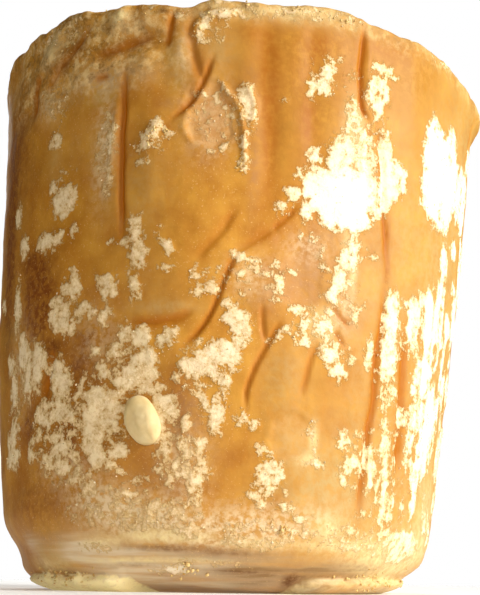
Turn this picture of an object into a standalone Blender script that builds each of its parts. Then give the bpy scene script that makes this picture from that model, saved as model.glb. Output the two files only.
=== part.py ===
"""Block of jaggery: cane sugar poured hot into a cloth-lined tapered tub, set, and turned out.

It stands on its narrow end. The wall carries what the lining left: sharp creases, soft
curtain folds, flaked scars and a low belly. The poured end on top is slightly sunken inside
a crumbly rim, the bottom edge is round, and a broken skirt of crumb is left at the foot.

Blender 4.5. Run it with: blender --background --python part.py
Frame: +Z up, the front is -Y, the origin is the bottom centre of the object's box.
Azimuths are degrees round the block, 0 at the front and growing towards +X.
"""
import math
from dataclasses import dataclass

import bpy
import numpy as np
from mathutils import Vector, noise

MM = 0.001                      # sizes below are millimetres, and this makes them metres

# Driving dimensions of the block as it came out of the tub
HEIGHT = 105.0                  # at the front of the rim
FOOT_RADIUS = 42.9              # the wall's straight line, carried down to the floor
RIM_RADIUS = 50.6
EDGE_ROUNDING = 14.3            # radius of the rounded bottom edge
BELLY = 1.0                     # how far the middle of the wall swells past the straight line
LEAN = 4.3                      # the top stands this far to the right of the foot
TOP_FALL_RIGHT = 2.5            # the poured top falls away towards the right
TOP_FALL_BACK = 1.1             # and a little towards the back
SINK = 2.2                      # the middle of the poured top lies below its rim
RIM_WIDTH = 6.0                 # how far the raised rim reaches in from the wall
RIM_ROUNDING = 1.6

# How fine the turned mesh is
COLUMNS = 94
FRONT_GATHER = 0.42             # share by which columns crowd towards the creased front
CREASE_GATHER = 0.58            # and by which they crowd again towards each crease
CREASE_REACH = 5.0              # degrees either side of a crease that feel it

# The two colours, linear red, green, blue
CARAMEL = (0.56, 0.27, 0.06, 1.0)
PALE_CRUST = (0.78, 0.60, 0.30, 1.0)


@dataclass(frozen=True)
class Swell:
    """A smooth bulge of the wall, or a dip where the rise is negative."""
    azimuth: float
    height: float
    half_width: float           # degrees
    half_height: float
    rise: float


@dataclass(frozen=True)
class Crease:
    """A fold line: a groove with one side lapping over it, drawn through a few points."""
    path: tuple                 # (azimuth, height) from its top end to its bottom end
    depth: float
    width: float
    lap: float                  # how proud the lapping side stands; negative laps the other side


@dataclass(frozen=True)
class Scar:
    """A shallow plate where the skin has flaked off, with a raised edge."""
    azimuth: float
    height: float
    half_width: float           # degrees
    half_height: float
    turn: float                 # degrees, clockwise
    depth: float
    edge: float


@dataclass(frozen=True)
class CrustArc:
    """A stretch of the crumb skirt at the foot, with the radius that it reaches."""
    start: float
    end: float
    reach: float


SWELLS = (
    Swell(-10, 62, 14, 17, 1.1),        # the smooth belly between the creases
    Swell(-79, 48, 9, 3.5, 0.8),        # a knob on the left side
    Swell(-80, 20, 16, 6, 0.4),
    Swell(-80, 7.5, 22, 3.2, -1.5),     # the waist above the crust at the left
    Swell(-78, 62, 22, 52, -0.55),      # both sides are drawn in a little by the lining
    Swell(72, 40, 22, 42, -0.85),
    Swell(88, 5, 26, 4.0, 1.2),         # the fuller foot at the right
    Swell(80, 101.5, 13, 2.6, 1.9),     # the rim's beak at the right
    Swell(-81, 101.5, 16, 2.5, 0.6),    # and its smaller one at the left
    Swell(-44, 96, 9, 5, 0.9),          # lumps of the crumbly left shoulder
    Swell(-33, 99, 5, 3, -0.9),
    Swell(-30, 92, 7, 4, 0.6),
    Swell(-49, 88, 5, 3, -0.7),
    Swell(-19, 99, 4, 3.5, -0.6),
    Swell(23, 42, 6, 5, 0.5),
    Swell(17, 54, 5, 6, -0.4),
    Swell(-15, 45.6, 8, 1.8, -0.6),     # a soft level fold under the belly
)

# Soft curtain folds that hang from the rim: azimuth, half width in degrees, rise
CURTAIN_FOLDS = ((2.5, 2.6, 0.6), (7.5, 2.4, -0.7), (12.0, 2.2, 0.5), (16.0, 1.8, -0.6),
                 (22.5, 2.6, 0.5), (42.0, 3.0, 0.4), (-18.0, 3.0, 0.35))
CURTAIN_TOP = 101.0
CURTAIN_BOTTOM = 66.0

CREASES = (
    Crease(((-24.0, 98), (-24.0, 88), (-24.5, 79), (-23.4, 61)), 1.7, 1.3, 0.5),
    Crease(((-14.5, 105), (-15.2, 96)), 0.8, 1.6, 0.3),
    Crease(((-4.3, 97), (-6.5, 91), (-10.0, 85), (-15.0, 81)), 1.3, 1.4, 1.0),
    Crease(((26.8, 105), (26.8, 93), (29.5, 86), (33.5, 76), (37.8, 58)), 1.6, 1.4, -0.5),
    Crease(((37.6, 58), (37.0, 47), (36.8, 33), (35.8, 15)), 1.4, 1.4, 0.5),
    Crease(((14.0, 68), (10.0, 63), (1.5, 59), (-1.5, 51), (-6.5, 43), (-11.5, 41)), 1.4, 1.5, 1.2),
    Crease(((12.5, 47), (8.5, 41), (5.0, 30)), 1.4, 1.5, 1.1),
    Crease(((20.5, 44), (17.5, 34)), 0.7, 1.8, 0.4),
    Crease(((47.0, 38), (48.0, 22)), 0.7, 1.6, 0.4),
    Crease(((74.0, 100), (71.0, 80), (75.0, 58), (72.0, 40)), 1.2, 1.8, -0.6),
    Crease(((108.0, 104), (111.0, 84), (104.0, 66)), 1.4, 1.8, 0.7),
    Crease(((128.0, 70), (119.0, 52), (121.0, 24)), 1.3, 1.8, 0.7),
    Crease(((150.0, 104), (147.0, 82), (153.0, 58), (149.0, 30)), 1.6, 2.0, -0.8),
    Crease(((178.0, 92), (171.0, 74), (182.0, 52)), 1.3, 2.0, 0.7),
    Crease(((204.0, 104), (208.0, 78), (199.0, 44), (203.0, 18)), 1.6, 2.0, 0.8),
    Crease(((232.0, 98), (226.0, 74), (234.0, 60)), 1.2, 2.0, -0.6),
    Crease(((254.0, 80), (249.0, 56), (256.0, 26)), 1.3, 1.8, 0.7),
)

SCARS = (
    Scar(-5.3, 82.2, 5.2, 6.6, -8, 0.6, 0.3),    # the flaked plate beside the curtain folds
    Scar(16.5, 26.8, 5.4, 4.2, 0, 0.3, 0.2),     # a level oval one low on the right
    Scar(16.5, 54.5, 5.2, 5.2, 20, 0.3, 0.15),
    Scar(140, 40, 7, 8, 15, 0.8, 0.4),
    Scar(218, 60, 6, 7, -20, 0.8, 0.4),
    Scar(265, 78, 7, 6, 10, 0.7, 0.4),
)

# The torn-up edge of skin beside the flaked plate
RIDGE = Crease(((-0.5, 88), (3.4, 84), (1.5, 78), (2.2, 72)), -0.9, 1.3, 0.0)

CRUST_ARCS = (
    CrustArc(-78, -27, 39.3), CrustArc(24, 96, 38.6), CrustArc(108, 152, 38.0),
    CrustArc(163, 204, 38.8), CrustArc(212, 252, 38.2),
)
CRUST_THICKNESS = 2.6
CRUST_CHAMFER = 5.0             # how far the crust's underside draws in where it meets the floor
CRUST_END = 3.0                 # degrees over which a stretch of crust thins out at its ends
FRONT_NOTCH = (-27.0, 20.0)     # where the foot has broken away between two stretches of crust
NOTCH_LIFT = 1.7
FLAT_BASE = 24.0                # inside this radius the base is dead flat

# Rim height over the level top: azimuth, half width in degrees, rise
RIM_CHIPS = ((-41, 6, 1.3), (-11, 5, -1.2), (21, 6, 1.0), (-66, 8, -0.6), (66, 9, -0.7),
             (104, 6, -1.1), (138, 8, 0.8), (171, 6, -1.0), (214, 9, 0.9), (246, 7, -1.2))

# The pale flake stuck low on the front
FLAKE_AZIMUTH = -16.5
FLAKE_HEIGHT = 28.9
FLAKE_HALF_WIDTH = 3.5
FLAKE_HALF_HEIGHT = 4.25
FLAKE_SLANT = 0.24              # its foot lies this far to the right for each millimetre down
FLAKE_THICKNESS = 1.3
FLAKE_GAP = 0.35
FLAKE_SEAT = 5.5                # the wall is calmed within this distance of the flake's centre


def smooth_step(value, low, high):
    """0 below low, 1 above high, and an even S between them."""
    share = np.clip((value - low) / (high - low), 0.0, 1.0)
    return share * share * (3.0 - 2.0 * share)


def angle_between(azimuth, centre):
    """Signed degrees from centre to azimuth, the short way round."""
    return (azimuth - centre + 180.0) % 360.0 - 180.0


def sample_noise(azimuth, height, grain, offset):
    """Smooth noise of about -1 to 1 over the wall, with lumps about grain millimetres wide."""
    turn = np.radians(azimuth)
    radius = (FOOT_RADIUS + RIM_RADIUS) / 2.0
    points = np.stack([radius * np.sin(turn), radius * np.cos(turn), height], axis=-1) / grain
    return np.array([noise.noise(Vector(point) + Vector((offset, 0.0, 0.0))) for point in points])


def top_noise(across, back):
    """Smooth noise over the poured top, with lumps about a centimetre wide."""
    return np.array([noise.noise(Vector((x / 11.0, y / 11.0, 5.0))) for x, y in zip(across, back)])


def mould_radius(height):
    """Radius of the tub at a height: a straight taper, a slight belly and a round bottom edge."""
    straight = FOOT_RADIUS + (RIM_RADIUS - FOOT_RADIUS) * height / HEIGHT
    along = np.clip((height - EDGE_ROUNDING) / (HEIGHT - EDGE_ROUNDING), 0.0, 1.0)
    drop = np.clip(EDGE_ROUNDING - height, 0.0, EDGE_ROUNDING)
    rounding = EDGE_ROUNDING - np.sqrt(EDGE_ROUNDING ** 2 - drop ** 2)
    return straight + BELLY * np.sin(math.pi * along) - rounding


def swell_rise(azimuth, height):
    """Sum of the bulges and dips."""
    total = np.zeros_like(height)
    for swell in SWELLS:
        across = angle_between(azimuth, swell.azimuth) / swell.half_width
        up = (height - swell.height) / swell.half_height
        total += swell.rise * np.exp(-across ** 2 - up ** 2)
    return total


def curtain_rise(azimuth, height):
    """Soft folds that hang from the rim and fade out half way down."""
    fade = smooth_step(height, CURTAIN_BOTTOM - 6.0, CURTAIN_BOTTOM + 10.0)
    fade *= 1.0 - 0.5 * smooth_step(height, CURTAIN_TOP - 4.0, CURTAIN_TOP + 3.0)
    sway = 1.2 * np.sin(height / 9.0)
    total = np.zeros_like(height)
    for centre, half_width, rise in CURTAIN_FOLDS:
        total += rise * np.exp(-(angle_between(azimuth, centre + sway) / half_width) ** 2)
    return total * fade


def crease_rise(azimuth, height, crease):
    """Height of the wall near one crease: its groove, less deep at the ends, and its lap."""
    degree = math.radians(1.0) * mould_radius(height)
    nearest = np.full_like(height, 1.0e9)
    signed = np.zeros_like(height)
    position = np.zeros_like(height)
    legs = len(crease.path) - 1
    for leg in range(legs):
        (start_azimuth, start_height), (end_azimuth, end_height) = crease.path[leg:leg + 2]
        across = angle_between(azimuth, start_azimuth) * degree
        up = height - start_height
        run = (end_azimuth - start_azimuth) * degree
        climb = end_height - start_height
        length = np.hypot(run, climb)
        share = np.clip((across * run + up * climb) / length ** 2, 0.0, 1.0)
        away_across = across - share * run
        away_up = up - share * climb
        distance = np.hypot(away_across, away_up)
        side = (across * -climb + up * run) / length
        closer = distance < nearest
        nearest = np.where(closer, distance, nearest)
        signed = np.where(closer, side, signed)
        position = np.where(closer, (leg + share) / legs, position)
    taper = smooth_step(np.minimum(position, 1.0 - position), -0.08, 0.22)
    groove = np.exp(-(nearest / crease.width) ** 2)
    lapping = smooth_step(signed * math.copysign(1.0, crease.lap), 0.0, crease.width)
    lap = abs(crease.lap) * lapping * np.exp(-nearest / (3.5 * crease.width))
    return (lap - crease.depth * groove) * taper


def scar_rise(azimuth, height, scar):
    """A flaked plate: sunken inside, with a raised edge."""
    degree = math.radians(1.0) * mould_radius(height)
    across = angle_between(azimuth, scar.azimuth) * degree
    up = height - scar.height
    turn = math.radians(scar.turn)
    along = across * math.cos(turn) - up * math.sin(turn)
    rise = across * math.sin(turn) + up * math.cos(turn)
    radius = np.hypot(along / (scar.half_width * degree), rise / scar.half_height)
    floor = 1.0 - smooth_step(radius, 0.72, 1.0)
    edge = np.exp(-((radius - 1.05) / 0.16) ** 2)
    return scar.edge * edge - scar.depth * floor


def flake_seat(azimuth, height):
    """1 under the pale flake and 0 away from it."""
    degree = math.radians(1.0) * mould_radius(height)
    across = angle_between(azimuth, FLAKE_AZIMUTH) * degree
    return 1.0 - smooth_step(np.hypot(across, height - FLAKE_HEIGHT), FLAKE_SEAT, FLAKE_SEAT + 3.0)


def relief(azimuth, height):
    """Everything that stands proud of the tub's own shape, or lies under it."""
    total = swell_rise(azimuth, height) + curtain_rise(azimuth, height)
    for crease in CREASES:
        total += crease_rise(azimuth, height, crease)
    total += crease_rise(azimuth, height, RIDGE)
    for scar in SCARS:
        total += scar_rise(azimuth, height, scar)
    total += 0.55 * sample_noise(azimuth, height, 26.0, 3.0)
    total += 0.28 * sample_noise(azimuth, height, 9.0, 11.0)
    crumbly = smooth_step(height, 84.0, 97.0) * np.exp(-(angle_between(azimuth, -45.0) / 32.0) ** 2)
    total += (0.15 + 0.75 * crumbly) * sample_noise(azimuth, height, 4.5, 23.0)
    return total * (1.0 - flake_seat(azimuth, height))


def crust_radius(azimuth, height):
    """Radius of the crumb skirt at the foot, or 0 where it has broken away."""
    draw_in = CRUST_CHAMFER * (1.0 - np.clip(height / CRUST_THICKNESS, 0.0, 1.0)) ** 2.2
    ragged = 0.6 * sample_noise(azimuth, height, 5.0, 41.0)
    radius = np.zeros_like(height)
    for arc in CRUST_ARCS:
        middle = (arc.start + arc.end) / 2.0
        from_end = (arc.end - arc.start) / 2.0 - np.abs(angle_between(azimuth, middle))
        thin = 3.0 * (1.0 - smooth_step(from_end, 0.0, CRUST_END))
        radius = np.where(from_end > 0.0, arc.reach - thin - draw_in + ragged, radius)
    return radius


def wall_radius(azimuth, height):
    """Radius of the finished wall round the block's own axis."""
    calm_foot = smooth_step(height, 0.5, 6.0)
    wall = mould_radius(height) + relief(azimuth, height) * calm_foot
    skirt_fade = 1.0 - smooth_step(height, CRUST_THICKNESS + 1.0, CRUST_THICKNESS + 3.0)
    skirt = crust_radius(azimuth, height) - 20.0 * (1.0 - skirt_fade)
    return np.maximum(wall, skirt)


def rim_height(azimuth):
    """Height of the rim's crest round the block, chips and all, before the top's fall."""
    height = HEIGHT + 0.35 * sample_noise(azimuth, np.full_like(azimuth, HEIGHT), 5.0, 57.0)
    for centre, half_width, rise in RIM_CHIPS:
        height += rise * np.exp(-(angle_between(azimuth, centre) / half_width) ** 2)
    return height


def lean_and_fall(points):
    """Lean the upright block towards +X and let its poured top fall away, in place."""
    share = points[:, 2] / HEIGHT
    points[:, 2] -= TOP_FALL_RIGHT * share * points[:, 0] / RIM_RADIUS
    points[:, 2] -= TOP_FALL_BACK * share * (points[:, 1] / RIM_RADIUS + 1.0)
    points[:, 0] += LEAN * share


def wall_heights():
    """Heights of the wall's rings from the rim down to the floor, closer where it turns."""
    rings = [HEIGHT - step for step in (0.5, 1.6, 3.2, 5.2)]
    rings += list(np.linspace(HEIGHT - 7.6, EDGE_ROUNDING + 0.5, 33))
    rings += [EDGE_ROUNDING * share for share in (0.74, 0.52, 0.36)]
    rings += [CRUST_THICKNESS * share for share in (1.35, 1.0, 0.6, 0.25, 0.0)]
    return rings


def turned_profile():
    """Half section of the tub, from the middle of the top down to the middle of the base."""
    rim = RIM_RADIUS - RIM_ROUNDING
    top = [(radius, HEIGHT) for radius in (0.0, 0.42 * rim, 0.74 * rim, rim - RIM_WIDTH, rim - 2.4, rim)]
    wall = [(float(mould_radius(np.array(height))), height) for height in wall_heights()]
    base = [(FLAT_BASE, 0.0), (0.0, 0.0)]
    return top + wall + base


def turn_profile(name, profile):
    """Turn a half section about Z with a Screw modifier and return the bare mesh."""
    outline = bpy.data.meshes.new(name + "_profile")
    points = [(radius * MM, 0.0, height * MM) for radius, height in profile]
    outline.from_pydata(points, [(i, i + 1) for i in range(len(points) - 1)], [])
    blank = bpy.data.objects.new(name + "_profile", outline)
    bpy.context.scene.collection.objects.link(blank)
    screw = blank.modifiers.new("turn", "SCREW")
    screw.angle = 2.0 * math.pi
    screw.steps = COLUMNS
    screw.render_steps = COLUMNS
    screw.use_merge_vertices = True
    screw.merge_threshold = 0.00001
    evaluated = blank.evaluated_get(bpy.context.evaluated_depsgraph_get())
    turned = bpy.data.meshes.new_from_object(evaluated)
    bpy.data.objects.remove(blank)
    bpy.data.meshes.remove(outline)
    turned.name = name
    return turned


def gather_columns(azimuth, height):
    """Crowd the mesh's columns towards the front, and at each height towards the creases."""
    azimuth = azimuth - math.degrees(FRONT_GATHER) * np.sin(np.radians(azimuth))
    for crease in CREASES + (RIDGE,):
        climb = crease.path[::-1]
        line = np.interp(height, [point[1] for point in climb], [point[0] for point in climb])
        away = angle_between(azimuth, line)
        beside = smooth_step(height, climb[0][1] - 6.0, climb[0][1])
        beside *= 1.0 - smooth_step(height, climb[-1][1], climb[-1][1] + 6.0)
        azimuth = azimuth - CREASE_GATHER * beside * away * np.exp(-(away / CREASE_REACH) ** 2)
    return azimuth


def shape_block(points):
    """Move the turned blank's points, in millimetres, to the finished block."""
    radius = np.hypot(points[:, 0], points[:, 1])
    height = points[:, 2].copy()
    azimuth = np.degrees(np.arctan2(points[:, 0], -points[:, 1]))
    azimuth = gather_columns(azimuth, height)
    turn = np.radians(azimuth)

    rim = RIM_RADIUS - RIM_ROUNDING
    on_top = (height > HEIGHT - 0.01) & (radius < rim + 0.01)
    on_base = (height < 0.01) & (radius < FLAT_BASE + 0.01)
    on_wall = ~on_top & ~on_base

    crest = rim_height(azimuth)
    inward = smooth_step(rim - radius, 0.0, RIM_WIDTH)
    poured = HEIGHT - SINK + 0.8 * top_noise(radius * np.sin(turn), radius * np.cos(turn))
    sunken = crest + (poured - crest) * inward
    top_radius = radius / rim * (wall_radius(azimuth, height) - RIM_ROUNDING)
    wall_height = height + (crest - HEIGHT) * smooth_step(height, HEIGHT - 14.0, HEIGHT)
    notch = smooth_step(azimuth, FRONT_NOTCH[0] - 0.5, FRONT_NOTCH[0] + 2.0)
    notch *= 1.0 - smooth_step(azimuth, FRONT_NOTCH[0] + 6.0, FRONT_NOTCH[1])
    wall_height += NOTCH_LIFT * notch * (1.0 - smooth_step(height, 0.0, 7.0))

    new_radius = np.where(on_wall, wall_radius(azimuth, height), radius)
    new_radius = np.where(on_top, top_radius, new_radius)
    points[:, 2] = np.where(on_wall, wall_height, np.where(on_top, sunken, 0.0))
    points[:, 0] = new_radius * np.sin(turn)
    points[:, 1] = -new_radius * np.cos(turn)
    lean_and_fall(points)


def move_mesh(mesh, move):
    """Run move on the mesh's points as an array in millimetres and store the result."""
    count = len(mesh.vertices)
    flat = np.empty(count * 3, dtype=np.float32)
    mesh.vertices.foreach_get("co", flat)
    points = flat.reshape(count, 3).astype(float) / MM
    move(points)
    mesh.vertices.foreach_set("co", (points * MM).astype(np.float32).ravel())
    mesh.update()


def make_material(name, colour, roughness):
    """A plain Principled material."""
    material = bpy.data.materials.new(name)
    material.use_nodes = True
    shader = material.node_tree.nodes["Principled BSDF"]
    shader.inputs["Base Color"].default_value = colour
    shader.inputs["Roughness"].default_value = roughness
    shader.inputs["Metallic"].default_value = 0.0
    return material


def build_block(collection):
    """The block itself, one solid."""
    mesh = turn_profile("jaggery_block", turned_profile())
    move_mesh(mesh, shape_block)
    mesh.shade_smooth()
    mesh.materials.clear()
    mesh.materials.append(make_material("set_jaggery", CARAMEL, 0.55))
    block = bpy.data.objects.new("jaggery_block", mesh)
    collection.objects.link(block)
    return block


def shape_flake(points):
    """Flatten a unit ball into a lens and lay it on the wall, a hair off it."""
    up = points[:, 2] * FLAKE_HALF_HEIGHT
    across = points[:, 0] * FLAKE_HALF_WIDTH * (1.0 - 0.05 * points[:, 2]) - FLAKE_SLANT * up
    outward = FLAKE_GAP + np.where(points[:, 1] < 0.0, -points[:, 1] * FLAKE_THICKNESS, 0.0)
    height = FLAKE_HEIGHT + up
    degree = math.radians(1.0) * mould_radius(height)
    azimuth = FLAKE_AZIMUTH + across / degree
    radius = wall_radius(azimuth, height) + outward
    points[:, 0] = radius * np.sin(np.radians(azimuth))
    points[:, 1] = -radius * np.cos(np.radians(azimuth))
    points[:, 2] = height
    lean_and_fall(points)


def build_flake(collection):
    """The pale oval flake of dried sugar that sticks to the front."""
    bpy.ops.mesh.primitive_uv_sphere_add(segments=24, ring_count=12, radius=MM)
    flake = bpy.context.object
    flake.name = "pale_flake"
    flake.data.name = "pale_flake"
    move_mesh(flake.data, shape_flake)
    flake.data.shade_smooth()
    flake.data.materials.append(make_material("dried_sugar", PALE_CRUST, 0.5))
    for owner in list(flake.users_collection):
        owner.objects.unlink(flake)
    collection.objects.link(flake)
    return flake


def centre_on_origin(parts):
    """Shift the finished meshes so that the origin is the bottom centre of their box."""
    corners = [Vector(vertex.co) for part in parts for vertex in part.data.vertices]
    shift_x = (max(point.x for point in corners) + min(point.x for point in corners)) / 2.0
    shift_y = (max(point.y for point in corners) + min(point.y for point in corners)) / 2.0
    for part in parts:
        for vertex in part.data.vertices:
            vertex.co.x -= shift_x
            vertex.co.y -= shift_y
        part.data.update()


def main():
    """Clear the scene and build the two pieces."""
    for leftover in list(bpy.data.objects):
        bpy.data.objects.remove(leftover)
    collection = bpy.data.collections.new("jaggery block")
    bpy.context.scene.collection.children.link(collection)
    parts = [build_block(collection), build_flake(collection)]
    centre_on_origin(parts)


main()
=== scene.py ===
"""Looks of a tub-set jaggery block standing on its narrow end, with its bloom, crust and crumbs."""
from __future__ import annotations

import logging
import math
from dataclasses import dataclass, field
from enum import Enum
from typing import Any

import bmesh
import bpy
import numpy as np
from mathutils import Matrix, Vector, noise


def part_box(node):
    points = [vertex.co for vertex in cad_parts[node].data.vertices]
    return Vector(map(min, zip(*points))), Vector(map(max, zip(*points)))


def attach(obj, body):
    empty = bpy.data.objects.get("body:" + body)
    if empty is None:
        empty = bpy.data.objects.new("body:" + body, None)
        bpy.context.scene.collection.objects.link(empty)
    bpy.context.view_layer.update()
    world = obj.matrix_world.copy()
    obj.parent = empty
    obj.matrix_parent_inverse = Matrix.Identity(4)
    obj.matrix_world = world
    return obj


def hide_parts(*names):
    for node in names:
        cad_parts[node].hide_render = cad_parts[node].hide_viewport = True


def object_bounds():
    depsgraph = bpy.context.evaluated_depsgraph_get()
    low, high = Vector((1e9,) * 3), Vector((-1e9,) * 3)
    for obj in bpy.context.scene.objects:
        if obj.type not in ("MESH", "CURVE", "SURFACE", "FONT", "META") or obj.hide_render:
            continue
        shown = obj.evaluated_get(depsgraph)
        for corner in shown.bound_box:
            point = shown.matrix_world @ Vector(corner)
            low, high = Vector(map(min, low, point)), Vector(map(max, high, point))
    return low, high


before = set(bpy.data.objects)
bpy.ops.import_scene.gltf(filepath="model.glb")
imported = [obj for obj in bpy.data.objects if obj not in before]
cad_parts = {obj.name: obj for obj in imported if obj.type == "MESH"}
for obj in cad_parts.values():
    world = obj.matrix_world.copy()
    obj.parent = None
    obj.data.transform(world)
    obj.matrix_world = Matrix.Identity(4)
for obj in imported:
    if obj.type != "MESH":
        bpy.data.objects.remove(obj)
CAD_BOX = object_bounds()

logging.basicConfig(level=logging.INFO, format="%(message)s")
LOG = logging.getLogger("jaggery_block")

MM = 0.001
BODY = "root"
BLOCK_NODE = "jaggery_block"
FLAKE_NODE = "pale_flake"
DEGREE = math.radians(1.0)
FULL_TURN = 2.0 * math.pi
# Rough radii of the wall in millimetres, which turn a reach into degrees.
LEAST_RADIUS = 40.0
FOOT_RADIUS = 43.0
MIDDLE_RADIUS = 47.0
# Height in millimetres at which the flat top cuts through its noise.
TOP_SLICE = 55.0
Array = np.ndarray


def smooth_step(value: Array, low: float, high: float) -> Array:
    """0 below low, 1 above high, with an even S between them."""
    share = np.clip((value - low) / (high - low), 0.0, 1.0)
    return share * share * (3.0 - 2.0 * share)


def angle_between(azimuth: Array, centre: Array | float) -> Array:
    """Signed degrees from centre to azimuth, the short way round."""
    return (azimuth - centre + 180.0) % 360.0 - 180.0


def stretch(azimuth: Array, centre: Array | float, half_width: float, power: int = 2) -> Array:
    """1 at a centre round the block, falling off half_width degrees away, faster for more power."""
    return np.exp(-(angle_between(azimuth, centre) / half_width) ** power)


def turned(across: Array, up: Array, degrees: float) -> tuple[Array, Array]:
    """Coordinates along and across an ellipse that is turned by some degrees."""
    cos, sin = math.cos(math.radians(degrees)), math.sin(math.radians(degrees))
    return across * cos - up * sin, across * sin + up * cos


def level_slice(across: Array, back: Array) -> Array:
    """Points on the slice of noise that the flat top takes, in millimetres."""
    return np.stack([across, back, np.full_like(across, TOP_SLICE)], axis=-1)


@dataclass(frozen=True)
class Ripple:
    """One scale of unevenness: its rise and the width of its lumps, in millimetres.

    The offset is where in the noise it starts, so that no two ripples line up.
    """
    rise: float
    grain: float
    offset: float

    def at(self, points: Array) -> Array:
        """Rise in millimetres at each point.

        Args:
            points: rows of x, y and z in millimetres.

        Returns:
            About -1 to 1 times the rise.
        """
        scaled = points / self.grain
        scaled[:, 0] += self.offset
        return self.rise * np.array([noise.noise(point) for point in scaled.tolist()])


# ---------------------------------------------------------------- the block's form


@dataclass(frozen=True)
class TubForm:
    """The tub that the block set in, in millimetres, and how the block leans once turned out."""
    height: float = 105.0
    foot_radius: float = 42.9
    rim_radius: float = 50.6
    edge_rounding: float = 14.3
    belly: float = 1.0
    lean: float = 4.3
    fall_right: float = 2.5
    fall_back: float = 1.1
    sink: float = 2.2
    rim_width: float = 6.0
    rim_rounding: float = 1.0
    flat_base: float = 24.0
    crust_thickness: float = 2.6

    def radius(self, height: Array) -> Array:
        """Radius of the tub at a height: taper, belly and rounded bottom edge.

        Args:
            height: millimetres above the base.

        Returns:
            Millimetres from the block's own axis.
        """
        straight = self.foot_radius + (self.rim_radius - self.foot_radius) * height / self.height
        along = np.clip((height - self.edge_rounding) / (self.height - self.edge_rounding), 0.0, 1.0)
        drop = np.clip(self.edge_rounding - height, 0.0, self.edge_rounding)
        rounding = self.edge_rounding - np.sqrt(self.edge_rounding ** 2 - drop ** 2)
        return straight + self.belly * np.sin(math.pi * along) - rounding

    def place(self, azimuth: Array, radius: Array, height: Array) -> Array:
        """Points for cylinder coordinates, with the lean and the fall of the top put in.

        Args:
            azimuth: degrees round the block, 0 at the front, growing to the right.
            radius: millimetres from the block's own axis.
            height: millimetres above the base.

        Returns:
            An array of x, y and z in millimetres, before the frame's shift.
        """
        turn = np.radians(azimuth)
        across = radius * np.sin(turn)
        back = -radius * np.cos(turn)
        share = height / self.height
        up = height - self.fall_right * share * across / self.rim_radius
        up -= self.fall_back * share * (back / self.rim_radius + 1.0)
        return np.stack([across + self.lean * share, back, up], axis=-1)

    def cylinder(self, azimuth: Array, height: Array) -> Array:
        """Points on a plain cylinder of the tub's middle radius, for noise that runs round it.

        Args:
            azimuth, height: where on the wall, in degrees and millimetres.

        Returns:
            An array of x, y and z in millimetres.
        """
        turn = np.radians(azimuth)
        middle = (self.foot_radius + self.rim_radius) / 2.0
        return np.stack([middle * np.sin(turn), middle * np.cos(turn), height], axis=-1)


@dataclass(frozen=True)
class Cloud:
    """A soft-edged spot on the wall: its middle, its reach and how much of something it holds.

    As a swell the amount is a rise in millimetres, and as a stain it is a strength.
    """
    azimuth: float
    height: float
    half_width: float
    half_height: float
    amount: float

    def at(self, azimuth: Array, height: Array) -> Array:
        """The amount at each point.

        Args:
            azimuth, height: where on the wall, in degrees and millimetres.

        Returns:
            The whole amount at the middle, fading to nothing round it.
        """
        across = angle_between(azimuth, self.azimuth) / self.half_width
        up = (height - self.height) / self.half_height
        return self.amount * np.exp(-across ** 2 - up ** 2)


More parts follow.
